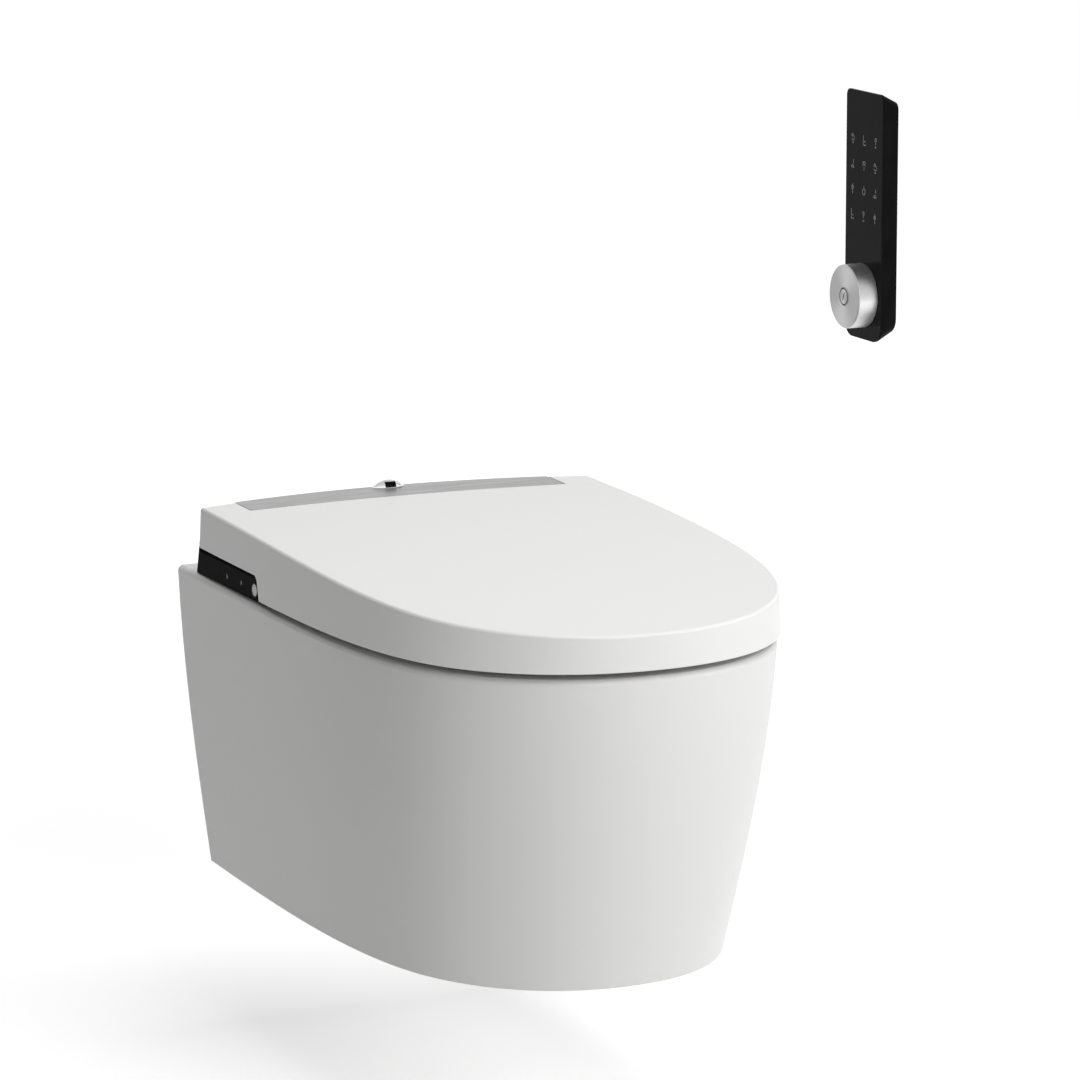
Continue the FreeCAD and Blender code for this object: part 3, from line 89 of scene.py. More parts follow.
def place_camera():
    """The photograph's view."""
    way = way_out(VIEW_TURN, VIEW_RISE)
    data = bpy.data.cameras.new("camera")
    data.lens = FOCAL_LENGTH
    data.sensor_width = SENSOR_WIDTH
    data.clip_end = VIEW_REACH
    camera = bpy.data.objects.new("camera", data)
    camera.location = Vector(VIEW_TARGET) + way * VIEW_DISTANCE
    camera.rotation_euler = way.to_track_quat("Z", "Y").to_euler()
    scene.collection.objects.link(camera)
    scene.camera = camera


def hang_lamps():
    """Square soft lamps. Mirrors don't show them: at this distance each would be a hard white patch."""
    for name, turn, rise, distance, watts in LAMPS:
        way = way_out(turn, rise)
        data = bpy.data.lights.new(name, "AREA")
        data.shape = "SQUARE"
        data.size = LAMP_WIDTH
        data.energy = watts
        lamp = bpy.data.objects.new(name, data)
        lamp.visible_glossy = False
        lamp.location = Vector(LAMP_TARGET) + way * distance
        lamp.rotation_euler = way.to_track_quat("Z", "Y").to_euler()
        scene.collection.objects.link(lamp)


def link_math(tree, operation, first, second):
    """A Math node; each input is a socket or a number."""
    node = tree.nodes.new("ShaderNodeMath")
    node.operation = operation
    for slot, value in zip(node.inputs, (first, second)):
        if isinstance(value, (int, float)):
            slot.default_value = value
        else:
            tree.links.new(value, slot)
    return node.outputs[0]


def map_range(tree, value, low, high, start, stop):
    """Value from low..high to start..stop, with a smooth step."""
    node = tree.nodes.new("ShaderNodeMapRange")
    node.interpolation_type = "SMOOTHSTEP"
    for name, number in (("From Min", low), ("From Max", high), ("To Min", start), ("To Max", stop)):
        node.inputs[name].default_value = number
    tree.links.new(value, node.inputs["Value"])
    return node.outputs["Result"]


def fill_room():
    """Even light for matt surfaces; white to the camera, through glass and in mirrors near the horizon."""
    world = bpy.data.worlds.new("studio")
    scene.world = world
    world.use_nodes = True
    tree = world.node_tree
    tree.nodes.clear()
    ray = tree.nodes.new("ShaderNodeLightPath")
    seen = link_math(tree, "MAXIMUM", ray.outputs["Is Camera Ray"], ray.outputs["Is Transmission Ray"])
    direction = tree.nodes.new("ShaderNodeTexCoord")
    parts = tree.nodes.new("ShaderNodeSeparateXYZ")
    tree.links.new(direction.outputs["Generated"], parts.inputs[0])
    mirrored = map_range(tree, parts.outputs["Z"], *MIRRORED_RISE, 1.0, MIRRORED_TOP)
    strengths = []
    for strength in (SOFT_LIGHT, mirrored, 1.0):
        light = tree.nodes.new("ShaderNodeBackground")
        light.inputs["Color"].default_value = (1.0, 1.0, 1.0, 1.0)
        if isinstance(strength, float):
            light.inputs["Strength"].default_value = strength
        else:
            tree.links.new(strength, light.inputs["Strength"])
        strengths.append(light.outputs[0])
    shown = strengths[0]
    for flag, light in ((ray.outputs["Is Glossy Ray"], strengths[1]), (seen, strengths[2])):
        mix = tree.nodes.new("ShaderNodeMixShader")
        tree.links.new(flag, mix.inputs[0])
        tree.links.new(shown, mix.inputs[1])
        tree.links.new(light, mix.inputs[2])
        shown = mix.outputs[0]
    out = tree.nodes.new("ShaderNodeOutputWorld")
    tree.links.new(shown, out.inputs["Surface"])


def lay_floor():
    """A pale floor, lifted to white for the camera and mirrors, that keeps the object's shadow."""
    mesh = bpy.data.meshes.new("floor")
    corners = [(-1, -1), (1, -1), (1, 1), (-1, 1)]
    mesh.from_pydata([(x * FLOOR_HALF, y * FLOOR_HALF, FLOOR_LEVEL) for x, y in corners], [], [(0, 1, 2, 3)])
    floor = bpy.data.objects.new("floor", mesh)
    scene.collection.objects.link(floor)
    material = bpy.data.materials.new("pale_floor")
    material.use_nodes = True
    tree = material.node_tree
    shader = tree.nodes["Principled BSDF"]
    shader.inputs["Base Color"].default_value = (FLOOR_GREY, FLOOR_GREY, FLOOR_GREY, 1.0)
    shader.inputs["Roughness"].default_value = 0.9
    shader.inputs["Specular IOR Level"].default_value = 0.0
    shader.inputs["Emission Color"].default_value = (1.0, 1.0, 1.0, 1.0)
    ray = tree.nodes.new("ShaderNodeLightPath")
    seen = link_math(tree, "MAXIMUM", ray.outputs["Is Camera Ray"], ray.outputs["Is Transmission Ray"])
    seen = link_math(tree, "MAXIMUM", seen, ray.outputs["Is Glossy Ray"])
    place = tree.nodes.new("ShaderNodeTexCoord")
    away = tree.nodes.new("ShaderNodeVectorMath")
    away.operation = "LENGTH"
    tree.links.new(place.outputs["Object"], away.inputs[0])
    lift = map_range(tree, away.outputs["Value"], *FLOOR_LIFT_REACH, *FLOOR_LIFT)
    tree.links.new(link_math(tree, "MULTIPLY", lift, seen), shader.inputs["Emission Strength"])
    mesh.materials.append(material)


# ---------------------------------------------------------------- finishes

class Finish:
    """A node material. Even values stand on the shader's own sockets, patterns are linked to them."""

    def __init__(self, name, colour, roughness, **even):
        self.material = bpy.data.materials.new(name)
        self.material.use_nodes = True
        self.tree = self.material.node_tree
        self.shader = self.tree.nodes["Principled BSDF"]
        self.shader.inputs["Base Color"].default_value = (*colour, 1.0)
        self.shader.inputs["Roughness"].default_value = roughness
        for socket, value in even.items():
            self.shader.inputs[socket.replace("_", " ").replace("Ior", "IOR")].default_value = value

    def place(self, centre=(0.0, 0.0, 0.0), stretch=(1.0, 1.0, 1.0)):
        """Object coordinates about a centre, stretched along each axis."""
        coordinates = self.tree.nodes.new("ShaderNodeTexCoord")
        mapping = self.tree.nodes.new("ShaderNodeMapping")
        mapping.inputs["Location"].default_value = [-c * s for c, s in zip(centre, stretch)]
        mapping.inputs["Scale"].default_value = stretch
        self.tree.links.new(coordinates.outputs["Object"], mapping.inputs["Vector"])
        return mapping.outputs["Vector"]

    def noise(self, place, size, detail=3.0):
        """Clouds whose features are about so many metres across."""
        node = self.tree.nodes.new("ShaderNodeTexNoise")
        node.inputs["Scale"].default_value = 1.0 / size
        node.inputs["Detail"].default_value = detail
        self.tree.links.new(place, node.inputs["Vector"])
        return node.outputs["Fac"]

    def cells(self, place, size, feature="F1"):
        """Distances in a pattern of cells about so many metres across."""
        node = self.tree.nodes.new("ShaderNodeTexVoronoi")
        node.feature = feature
        node.inputs["Scale"].default_value = 1.0 / size
        self.tree.links.new(place, node.inputs["Vector"])
        return node.outputs["Distance"]

    def bands(self, place, size, axis, distortion):
        """Wavy bands across an axis."""
        node = self.tree.nodes.new("ShaderNodeTexWave")
        node.bands_direction = axis
        node.inputs["Scale"].default_value = 1.0 / size
        node.inputs["Distortion"].default_value = distortion
        self.tree.links.new(place, node.inputs["Vector"])
        return node.outputs["Fac"]

    def colour_from(self, value, dark, light, low=0.3, high=0.7):
        """Base colour from dark to light while the value goes from low to high."""
        mix = self.tree.nodes.new("ShaderNodeMix")
        mix.data_type = "RGBA"
        for slot in mix.inputs:
            if slot.type == "RGBA" and slot.name in "AB":
                slot.default_value = (*(dark if slot.name == "A" else light), 1.0)
        self.tree.links.new(map_range(self.tree, value, low, high, 0.0, 1.0), mix.inputs[0])
        colour = next(slot for slot in mix.outputs if slot.type == "RGBA")
        self.tree.links.new(colour, self.shader.inputs["Base Color"])
        return self

    def roughness_from(self, value, least, most, low=0.3, high=0.7):
        """Roughness from least to most while the value goes from low to high."""
        self.tree.links.new(map_range(self.tree, value, low, high, least, most),
                            self.shader.inputs["Roughness"])
        return self

    def relief(self, value, depth):
        """Height in metres, as a bump."""
        node = self.tree.nodes.new("ShaderNodeBump")
        node.inputs["Strength"].default_value = 1.0
        node.inputs["Distance"].default_value = depth
        self.tree.links.new(value, node.inputs["Height"])
        self.tree.links.new(node.outputs["Normal"], self.shader.inputs["Normal"])
        return self

    def grain_along(self, axis):
        """Brushing along a straight axis, for the anisotropic highlight."""
        node = self.tree.nodes.new("ShaderNodeCombineXYZ")
        for slot, value in zip(node.inputs, axis):
            slot.default_value = value
        self.tree.links.new(node.outputs[0], self.shader.inputs["Tangent"])
        return self

    def grain_about(self, centre, axis):
        """Brushing round an axis, as a lathe leaves it."""
        cross = self.tree.nodes.new("ShaderNodeVectorMath")
        cross.operation = "CROSS_PRODUCT"
        cross.inputs[0].default_value = axis
        self.tree.links.new(self.place(centre), cross.inputs[1])
        unit = self.tree.nodes.new("ShaderNodeVectorMath")
        unit.operation = "NORMALIZE"
        self.tree.links.new(cross.outputs[0], unit.inputs[0])
        self.tree.links.new(unit.outputs[0], self.shader.inputs["Tangent"])
        return self

    def distance_from(self, centre, axis):
        """How far a point is from an axis through the centre, in metres."""
        cross = self.tree.nodes.new("ShaderNodeVectorMath")
        cross.operation = "CROSS_PRODUCT"
        cross.inputs[0].default_value = axis
        self.tree.links.new(self.place(centre), cross.inputs[1])
        length = self.tree.nodes.new("ShaderNodeVectorMath")
        length.operation = "LENGTH"
        self.tree.links.new(cross.outputs[0], length.inputs[0])
        return length.outputs["Value"]

    def line_of(self, value):
        """A one-dimensional pattern's place: the value along X."""
        node = self.tree.nodes.new("ShaderNodeCombineXYZ")
        self.tree.links.new(value, node.inputs[0])
        return node.outputs[0]


def even_grey(level):
    return (level, level, level)


# Roughness of the glaze and the duroplast stays above 0.275: below it a preview draws faint contour lines.

def glazed_ceramic():
    finish = Finish("glazed_ceramic", (0.83, 0.83, 0.82), 0.3)
    cloud = finish.noise(finish.place(), 0.2, 1.0)
    finish.colour_from(cloud, (0.830, 0.830, 0.818), (0.836, 0.836, 0.826), 0.0, 1.0)
    return finish.roughness_from(cloud, 0.29, 0.32, 0.0, 1.0)


def polished_duroplast():
    finish = Finish("polished_duroplast", (0.863, 0.863, 0.853), 0.31)
    cloud = finish.noise(finish.place(), 0.15, 1.0)
    finish.colour_from(cloud, (0.860, 0.860, 0.850), (0.866, 0.866, 0.856), 0.0, 1.0)
    return finish.roughness_from(cloud, 0.30, 0.33, 0.0, 1.0)


def inner_plastic():
    finish = Finish("inner_plastic", (0.78, 0.78, 0.78), 0.38)
    place = finish.place()
    finish.colour_from(finish.noise(place, 0.06), even_grey(0.765), even_grey(0.79))
    finish.roughness_from(finish.noise(place, 0.02), 0.32, 0.42)
    return finish.relief(finish.noise(place, 0.0012, 2.0), 0.00001)


def housing_plastic():
    finish = Finish("housing_plastic", (0.80, 0.80, 0.80), 0.4)
    place = finish.place()
    finish.colour_from(finish.noise(place, 0.07), even_grey(0.785), even_grey(0.81))
    finish.roughness_from(finish.noise(place, 0.015), 0.34, 0.44)
    return finish.relief(finish.noise(place, 0.0008, 2.0), 0.000012)


def brushed_strip():
    finish = Finish("brushed_strip", even_grey(0.49), 0.4, Metallic=1.0, Anisotropic=0.3,
                    Anisotropic_Rotation=0.25)
    streaks = finish.noise(finish.place(stretch=(0.02, 1.0, 1.0)), 0.0007, 4.0)
    broad = finish.noise(finish.place(stretch=(0.08, 1.0, 1.0)), 0.006, 2.0)
    finish.colour_from(broad, even_grey(0.45), (0.53, 0.53, 0.535))
    finish.roughness_from(streaks, 0.34, 0.48)
    finish.relief(streaks, 0.000006)
    return finish.grain_along((1.0, 0.0, 0.0))


def polished_chrome():
    finish = Finish("polished_chrome", (0.90, 0.90, 0.91), 0.1, Metallic=1.0)
    place = finish.place()
    finish.roughness_from(finish.noise(place, 0.004), 0.08, 0.13)
    return finish.colour_from(finish.noise(place, 0.006), (0.88, 0.88, 0.89), (0.92, 0.92, 0.93))


# Painted shadow: a blacker band that stands in for the shade under the lid's skirt.
PANEL_SHADOW_BAND = 6.0 * MM
SHADOW_BAND_EDGE = (0.9, 1.1)       # where the painted shadow band fades, as shares of its width


def black_panel(top, front):
    """Near black, with a blacker band of painted shadow along the top edge and the front end."""
    finish = Finish("black_panel", even_grey(0.032), 0.3, Specular_Ior_Level=0.001)
    place = finish.place()
    along = finish.tree.nodes.new("ShaderNodeSeparateXYZ")
    finish.tree.links.new(place, along.inputs[0])
    from_top = link_math(finish.tree, "SUBTRACT", top, along.outputs["Z"])
    from_front = link_math(finish.tree, "SUBTRACT", along.outputs["Y"], front)
    inward_from_shadowed_edges = link_math(finish.tree, "MINIMUM", from_top, from_front)
    shadow_fade = [PANEL_SHADOW_BAND * share for share in SHADOW_BAND_EDGE]
    # painted shadow: blacker towards the top edge and the front end
    finish.colour_from(inward_from_shadowed_edges, even_grey(0.0004), even_grey(0.032), *shadow_fade)
    return finish.roughness_from(finish.noise(place, 0.008), 0.3, 0.36)


def satin_button():
    finish = Finish("satin_button", even_grey(0.36), 0.45, Metallic=1.0)
    place = finish.place()
    finish.colour_from(finish.noise(place, 0.003), even_grey(0.33), even_grey(0.39))
    return finish.roughness_from(finish.noise(place, 0.0015), 0.4, 0.5)


def black_glass():
    finish = Finish("black_glass", even_grey(0.007), 0.1, Specular_Ior_Level=0.03)
    place = finish.place()
    finish.colour_from(finish.noise(place, 0.05), even_grey(0.006), even_grey(0.009))
    return finish.roughness_from(finish.noise(place, 0.012), 0.08, 0.16)


def remote_case():
    finish = Finish("remote_case", even_grey(0.005), 0.42, Specular_Ior_Level=0.02)
    place = finish.place()
    finish.colour_from(finish.noise(place, 0.02), even_grey(0.0045), even_grey(0.007))
    finish.roughness_from(finish.noise(place, 0.004), 0.38, 0.5)
    return finish.relief(finish.noise(place, 0.0006, 2.0), 0.00002)


# Painted reflection on the knob: light and dark wedges round its axis on the face, and a painted highlight
# on its side.
REFLECTION_FAN_COUNT = 2.0
REFLECTION_FAN_TURN = -2.2              # where the knob's painted light and dark reflection wedges lie, in radians
REFLECTION_FAN_SHARE = 0.5              # how far the painted reflection and the fine rings sway the colour
RING_SHARE = 0.5
SIDE_HIGHLIGHT_LEVEL = 2.0             # the knob's side, a painted highlight: lighter than any place on its face
FACE_DEPTH = 0.5 * MM        # what lies deeper than this behind the knob's front is its side
REFLECTION_AND_RING_SPAN = (-0.7, 2.05)      # values of the painted reflection, rings and painted side highlight for the darkest and the lightest metal


def turned_aluminium(centre):
    """Brushed round the knob's axis, with fine rings, painted reflection wedges of light and dark on the
    face and a painted highlight on the side.
    """
    axis = (1.0, 0.0, 0.0)
    finish = Finish("turned_aluminium", even_grey(0.6), 0.34, Metallic=1.0, Anisotropic=0.5,
                    Anisotropic_Rotation=0.25)
    rings = finish.noise(finish.line_of(finish.distance_from(centre, axis)), 0.0006, 2.0)
    parts = finish.tree.nodes.new("ShaderNodeSeparateXYZ")
    finish.tree.links.new(finish.place(centre), parts.inputs[0])
    angle = link_math(finish.tree, "ARCTAN2", parts.outputs["Z"], parts.outputs["Y"])
    # painted reflection: light and dark wedges round the axis, fixed in the colour
    wave = link_math(finish.tree, "ADD", link_math(finish.tree, "MULTIPLY", angle, REFLECTION_FAN_COUNT), REFLECTION_FAN_TURN)
    painted_fans = link_math(finish.tree, "MULTIPLY", link_math(finish.tree, "SINE", wave, 0.0), REFLECTION_FAN_SHARE)
    painted_light_and_rings = link_math(finish.tree, "ADD", painted_fans, link_math(finish.tree, "MULTIPLY", rings, RING_SHARE))
    # painted highlight: the side takes the lightest colour
    face_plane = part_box("knob_ring")[0][0] + FACE_DEPTH - centre[0]
    on_side = link_math(finish.tree, "GREATER_THAN", parts.outputs["X"], face_plane)
    side = link_math(finish.tree, "MULTIPLY", on_side, SIDE_HIGHLIGHT_LEVEL)
    painted_light_and_rings = link_math(finish.tree, "MAXIMUM", painted_light_and_rings, side)
    finish.colour_from(painted_light_and_rings, even_grey(0.31), (0.66, 0.66, 0.665), *REFLECTION_AND_RING_SPAN)
    finish.roughness_from(rings, 0.30, 0.42)
    return finish.grain_about(centre, axis)


def zinc_plated():
    finish = Finish("zinc_plated", (0.55, 0.56, 0.58), 0.35, Metallic=1.0)
    place = finish.place()
    spangle = finish.cells(place, 0.003)
    finish.colour_from(spangle, (0.48, 0.49, 0.51), (0.62, 0.63, 0.65), 0.1, 0.8)
    return finish.roughness_from(finish.noise(place, 0.002), 0.28, 0.45)


def moulded_nylon():
    finish = Finish("moulded_nylon", (0.50, 0.51, 0.52), 0.5)
    place = finish.place()
    finish.colour_from(finish.noise(place, 0.006), (0.48, 0.49, 0.50), (0.53, 0.54, 0.55))
    finish.roughness_from(finish.noise(place, 0.003), 0.42, 0.58)
    return finish.relief(finish.noise(place, 0.0006, 2.0), 0.00002)


def soft_rubber():
    finish = Finish("soft_rubber", (0.42, 0.42, 0.42), 0.75, Specular_Ior_Level=0.3)
    place = finish.place()
    finish.colour_from(finish.noise(place, 0.003), even_grey(0.38), even_grey(0.45))
    finish.roughness_from(finish.noise(place, 0.001), 0.68, 0.85)
    return finish.relief(finish.noise(place, 0.0004, 2.0), 0.00003)


def heating_film():
    """Amber film with printed tracks."""
    finish = Finish("heating_film", (0.45, 0.25, 0.10), 0.35)
    place = finish.place()
    tracks = finish.bands(place, 0.02, "Y", 1.5)
    finish.colour_from(tracks, (0.20, 0.11, 0.06), (0.52, 0.30, 0.12), 0.25, 0.4)
    finish.roughness_from(finish.noise(place, 0.004), 0.28, 0.42)
    return finish.relief(tracks, 0.00003)


def machined_brass():
    finish = Finish("machined_brass", (0.62, 0.45, 0.17), 0.3, Metallic=1.0)
    marks = finish.noise(finish.place(stretch=(1.0, 0.05, 1.0)), 0.0008)
    finish.colour_from(marks, (0.56, 0.40, 0.14), (0.70, 0.52, 0.21))
    return finish.roughness_from(marks, 0.22, 0.4)


def tank_plastic():
    finish = Finish("tank_plastic", (0.11, 0.12, 0.13), 0.45)
    place = finish.place()
    finish.colour_from(finish.noise(place, 0.01), (0.095, 0.105, 0.115), (0.125, 0.135, 0.145))
    finish.roughness_from(finish.noise(place, 0.004), 0.38, 0.52)
    return finish.relief(finish.noise(place, 0.0008, 2.0), 0.00003)


def folded_sheet():
    finish = Finish("folded_sheet", (0.58, 0.59, 0.60), 0.35, Metallic=1.0)
    rolled = finish.noise(finish.place(stretch=(0.04, 1.0, 1.0)), 0.001)
    finish.colour_from(rolled, (0.52, 0.53, 0.54), (0.64, 0.65, 0.66))
    return finish.roughness_from(rolled, 0.3, 0.42)


def circuit_board():
    finish = Finish("circuit_board", (0.02, 0.12, 0.05), 0.4)
    place = finish.place()
    tracks = finish.cells(place, 0.004, "DISTANCE_TO_EDGE")
    finish.colour_from(tracks, (0.05, 0.20, 0.09), (0.012, 0.085, 0.04), 0.03, 0.06)
    return finish.roughness_from(finish.noise(place, 0.002), 0.3, 0.5)


def satin_steel():
    finish = Finish("satin_steel", (0.60, 0.61, 0.62), 0.28, Metallic=1.0)
    satin = finish.noise(finish.place(stretch=(1.0, 0.1, 1.0)), 0.0006)
    finish.colour_from(satin, (0.55, 0.56, 0.57), (0.66, 0.67, 0.68))
    return finish.roughness_from(satin, 0.22, 0.34)


def cap_plastic():
    finish = Finish("cap_plastic", even_grey(0.82), 0.2)
    place = finish.place()
    finish.colour_from(finish.noise(place, 0.01), even_grey(0.81), even_grey(0.835))
    return finish.roughness_from(finish.noise(place, 0.004), 0.16, 0.26)


def lamp_lens():
    finish = Finish("lamp_lens", even_grey(0.02), 0.25, Specular_Ior_Level=0.3)
    place = finish.place()
    finish.colour_from(finish.cells(place, 0.0006), even_grey(0.012), even_grey(0.03))
    return finish.roughness_from(finish.noise(place, 0.001), 0.2, 0.32)


def coated_magnet():
    finish = Finish("coated_magnet", even_grey(0.03), 0.35)
    place = finish.place()
    finish.colour_from(finish.noise(place, 0.002), even_grey(0.024), even_grey(0.04))
    return finish.roughness_from(finish.noise(place, 0.001), 0.3, 0.45)


def printed_symbol():
    """Pale grey print, a little worn."""
    finish = Finish("printed_symbol", even_grey(0.3), 0.5)
    place = finish.place()
    finish.colour_from(finish.noise(place, 0.002), even_grey(0.15), even_grey(0.28))
    return finish.roughness_from(finish.noise(place, 0.001), 0.4, 0.6)


def dark_print():
    finish = Finish("dark_print", even_grey(0.02), 0.5, Specular_Ior_Level=0.1)
    place = finish.place()
    finish.colour_from(finish.noise(place, 0.002), even_grey(0.015), even_grey(0.03))
    return finish.roughness_from(finish.noise(place, 0.001), 0.42, 0.6)


def middle(name):
    """The middle of a node's box."""
    low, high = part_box(name)
    return (Vector(low) + Vector(high)) / 2


KNOB_CENTRE = tuple(middle("knob_ring"))
BLACK_GLASS = black_glass()
DARK_PRINT = dark_print()
PANEL_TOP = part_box("side_panel_left")[1][2]
PANEL_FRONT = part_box("side_panel_left")[0][1]

FINISHES = (
    (glazed_ceramic(), ("ceramic_pan",)),
    (polished_duroplast(), ("lid_shell", "seat_top")),
    (inner_plastic(), ("lid_liner", "seat_tray", "wand_tube")),
    (housing_plastic(), ("unit_base", "rear_cover")),
    (brushed_strip(), ("metal_strip",)),
    (polished_chrome(), ("sensor_dome",)),
    (black_panel(PANEL_TOP, PANEL_FRONT), ("side_panel_left", "side_panel_right")),
    (zinc_plated(), ("mounting_plate", "deck_screws", "remote_plate", "lid_shaft", "seat_shaft",
                     "knob_spindle", "knob_clip")),
    (moulded_nylon(), ("deck_nuts", "fixing_sleeves", "lid_damper", "seat_damper", "wand_guide",
                       "holder_pad")),
    (soft_rubber(), ("seat_buffers", "lid_buffers", "heater_hose")),
    (heating_film(), ("seat_heater", "presence_sensor")),
    (machined_brass(), ("valve_block",)),
    (tank_plastic(), ("water_heater", "water_pump")),
    (folded_sheet(), ("power_supply",)),
    (circuit_board(), ("control_board", "remote_board")),
    (satin_steel(), ("wand_nozzle", "remote_battery")),
    (cap_plastic(), ("wand_cap",)),
    (lamp_lens(), ("status_lights",)),
    (BLACK_GLASS, ("remote_glass", "sensor_window")),
    (remote_case(), ("remote_shell", "battery_cover", "wall_holder")),
    (coated_magnet(), ("holder_magnets",)),
    (turned_aluminium(KNOB_CENTRE), ("knob_ring", "knob_button")),
)


def dress_nodes():
    """Puts each finish on its nodes' own solids."""
    for finish, names in FINISHES:
        for name in names:
            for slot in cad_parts[name].material_slots:
                slot.material = finish.material


# ---------------------------------------------------------------- key symbols

BOW_STEPS = 8
RING_STEPS = 20
NIB_SIDES = 6                # sides of the stroke's section


def named_input(tree, name, kind, value=None):
    """Gives a node group an input."""
    socket = tree.interface.new_socket(name, in_out="INPUT", socket_type=kind)
    if value is not None:
        socket.default_value = value


def straight(tree, start, end):
    """A straight stroke between two points."""
    node = tree.nodes.new("GeometryNodeCurvePrimitiveLine")
    node.inputs["Start"].default_value = (*start, 0.0)
    node.inputs["End"].default_value = (*end, 0.0)
    return node.outputs[0]


def bow(tree, start, middle_point, end):
    """A curved stroke, pulled towards its middle point."""
    node = tree.nodes.new("GeometryNodeCurveQuadraticBezier")
    node.inputs["Resolution"].default_value = BOW_STEPS
    for name, point in (("Start", start), ("Middle", middle_point), ("End", end)):
        node.inputs[name].default_value = (*point, 0.0)
    return node.outputs[0]


def ring(tree, centre, radius):
    """A round stroke."""
    node = tree.nodes.new("GeometryNodeCurvePrimitiveCircle")
    node.inputs["Resolution"].default_value = RING_STEPS
    node.inputs["Radius"].default_value = radius
    move = tree.nodes.new("GeometryNodeTransform")
    move.inputs["Translation"].default_value = (*centre, 0.0)
    tree.links.new(node.outputs[0], move.inputs["Geometry"])
    return move.outputs[0]


# Each symbol is drawn in a field one unit high about its middle.
SYMBOLS = (
    ((straight, (-0.18, -0.42), (0.30, -0.42)),
     (straight, (-0.18, -0.42), (-0.18, 0.45)),
     (straight, (-0.18, -0.10), (0.22, -0.10))),
    ((straight, (0.0, -0.45), (0.0, 0.45)),
     (ring, (0.0, 0.12), 0.16)),
    ((bow, (-0.30, -0.35), (-0.02, 0.05), (0.26, -0.35)),
     (straight, (-0.30, -0.35), (0.26, -0.35)),
     (straight, (0.12, 0.0), (0.12, 0.42))),
    ((ring, (-0.14, 0.28), 0.11),
     (straight, (0.06, 0.30), (0.30, 0.02)),
     (straight, (-0.14, -0.40), (0.14, -0.40)),
     (bow, (-0.26, -0.05), (0.0, -0.35), (0.26, -0.05))),
    ((ring, (0.0, 0.26), 0.14),
     (straight, (0.0, 0.12), (0.0, -0.20)),
     (straight, (-0.16, -0.42), (0.16, -0.42))),
    ((ring, (0.0, -0.08), 0.26),
     (straight, (0.0, 0.24), (0.0, 0.46))),
    ((bow, (-0.26, 0.22), (0.0, 0.50), (0.26, 0.22)),
     (bow, (-0.26, 0.0), (0.0, 0.28), (0.26, 0.0)),
     (straight, (0.0, -0.08), (0.0, -0.44))),
)


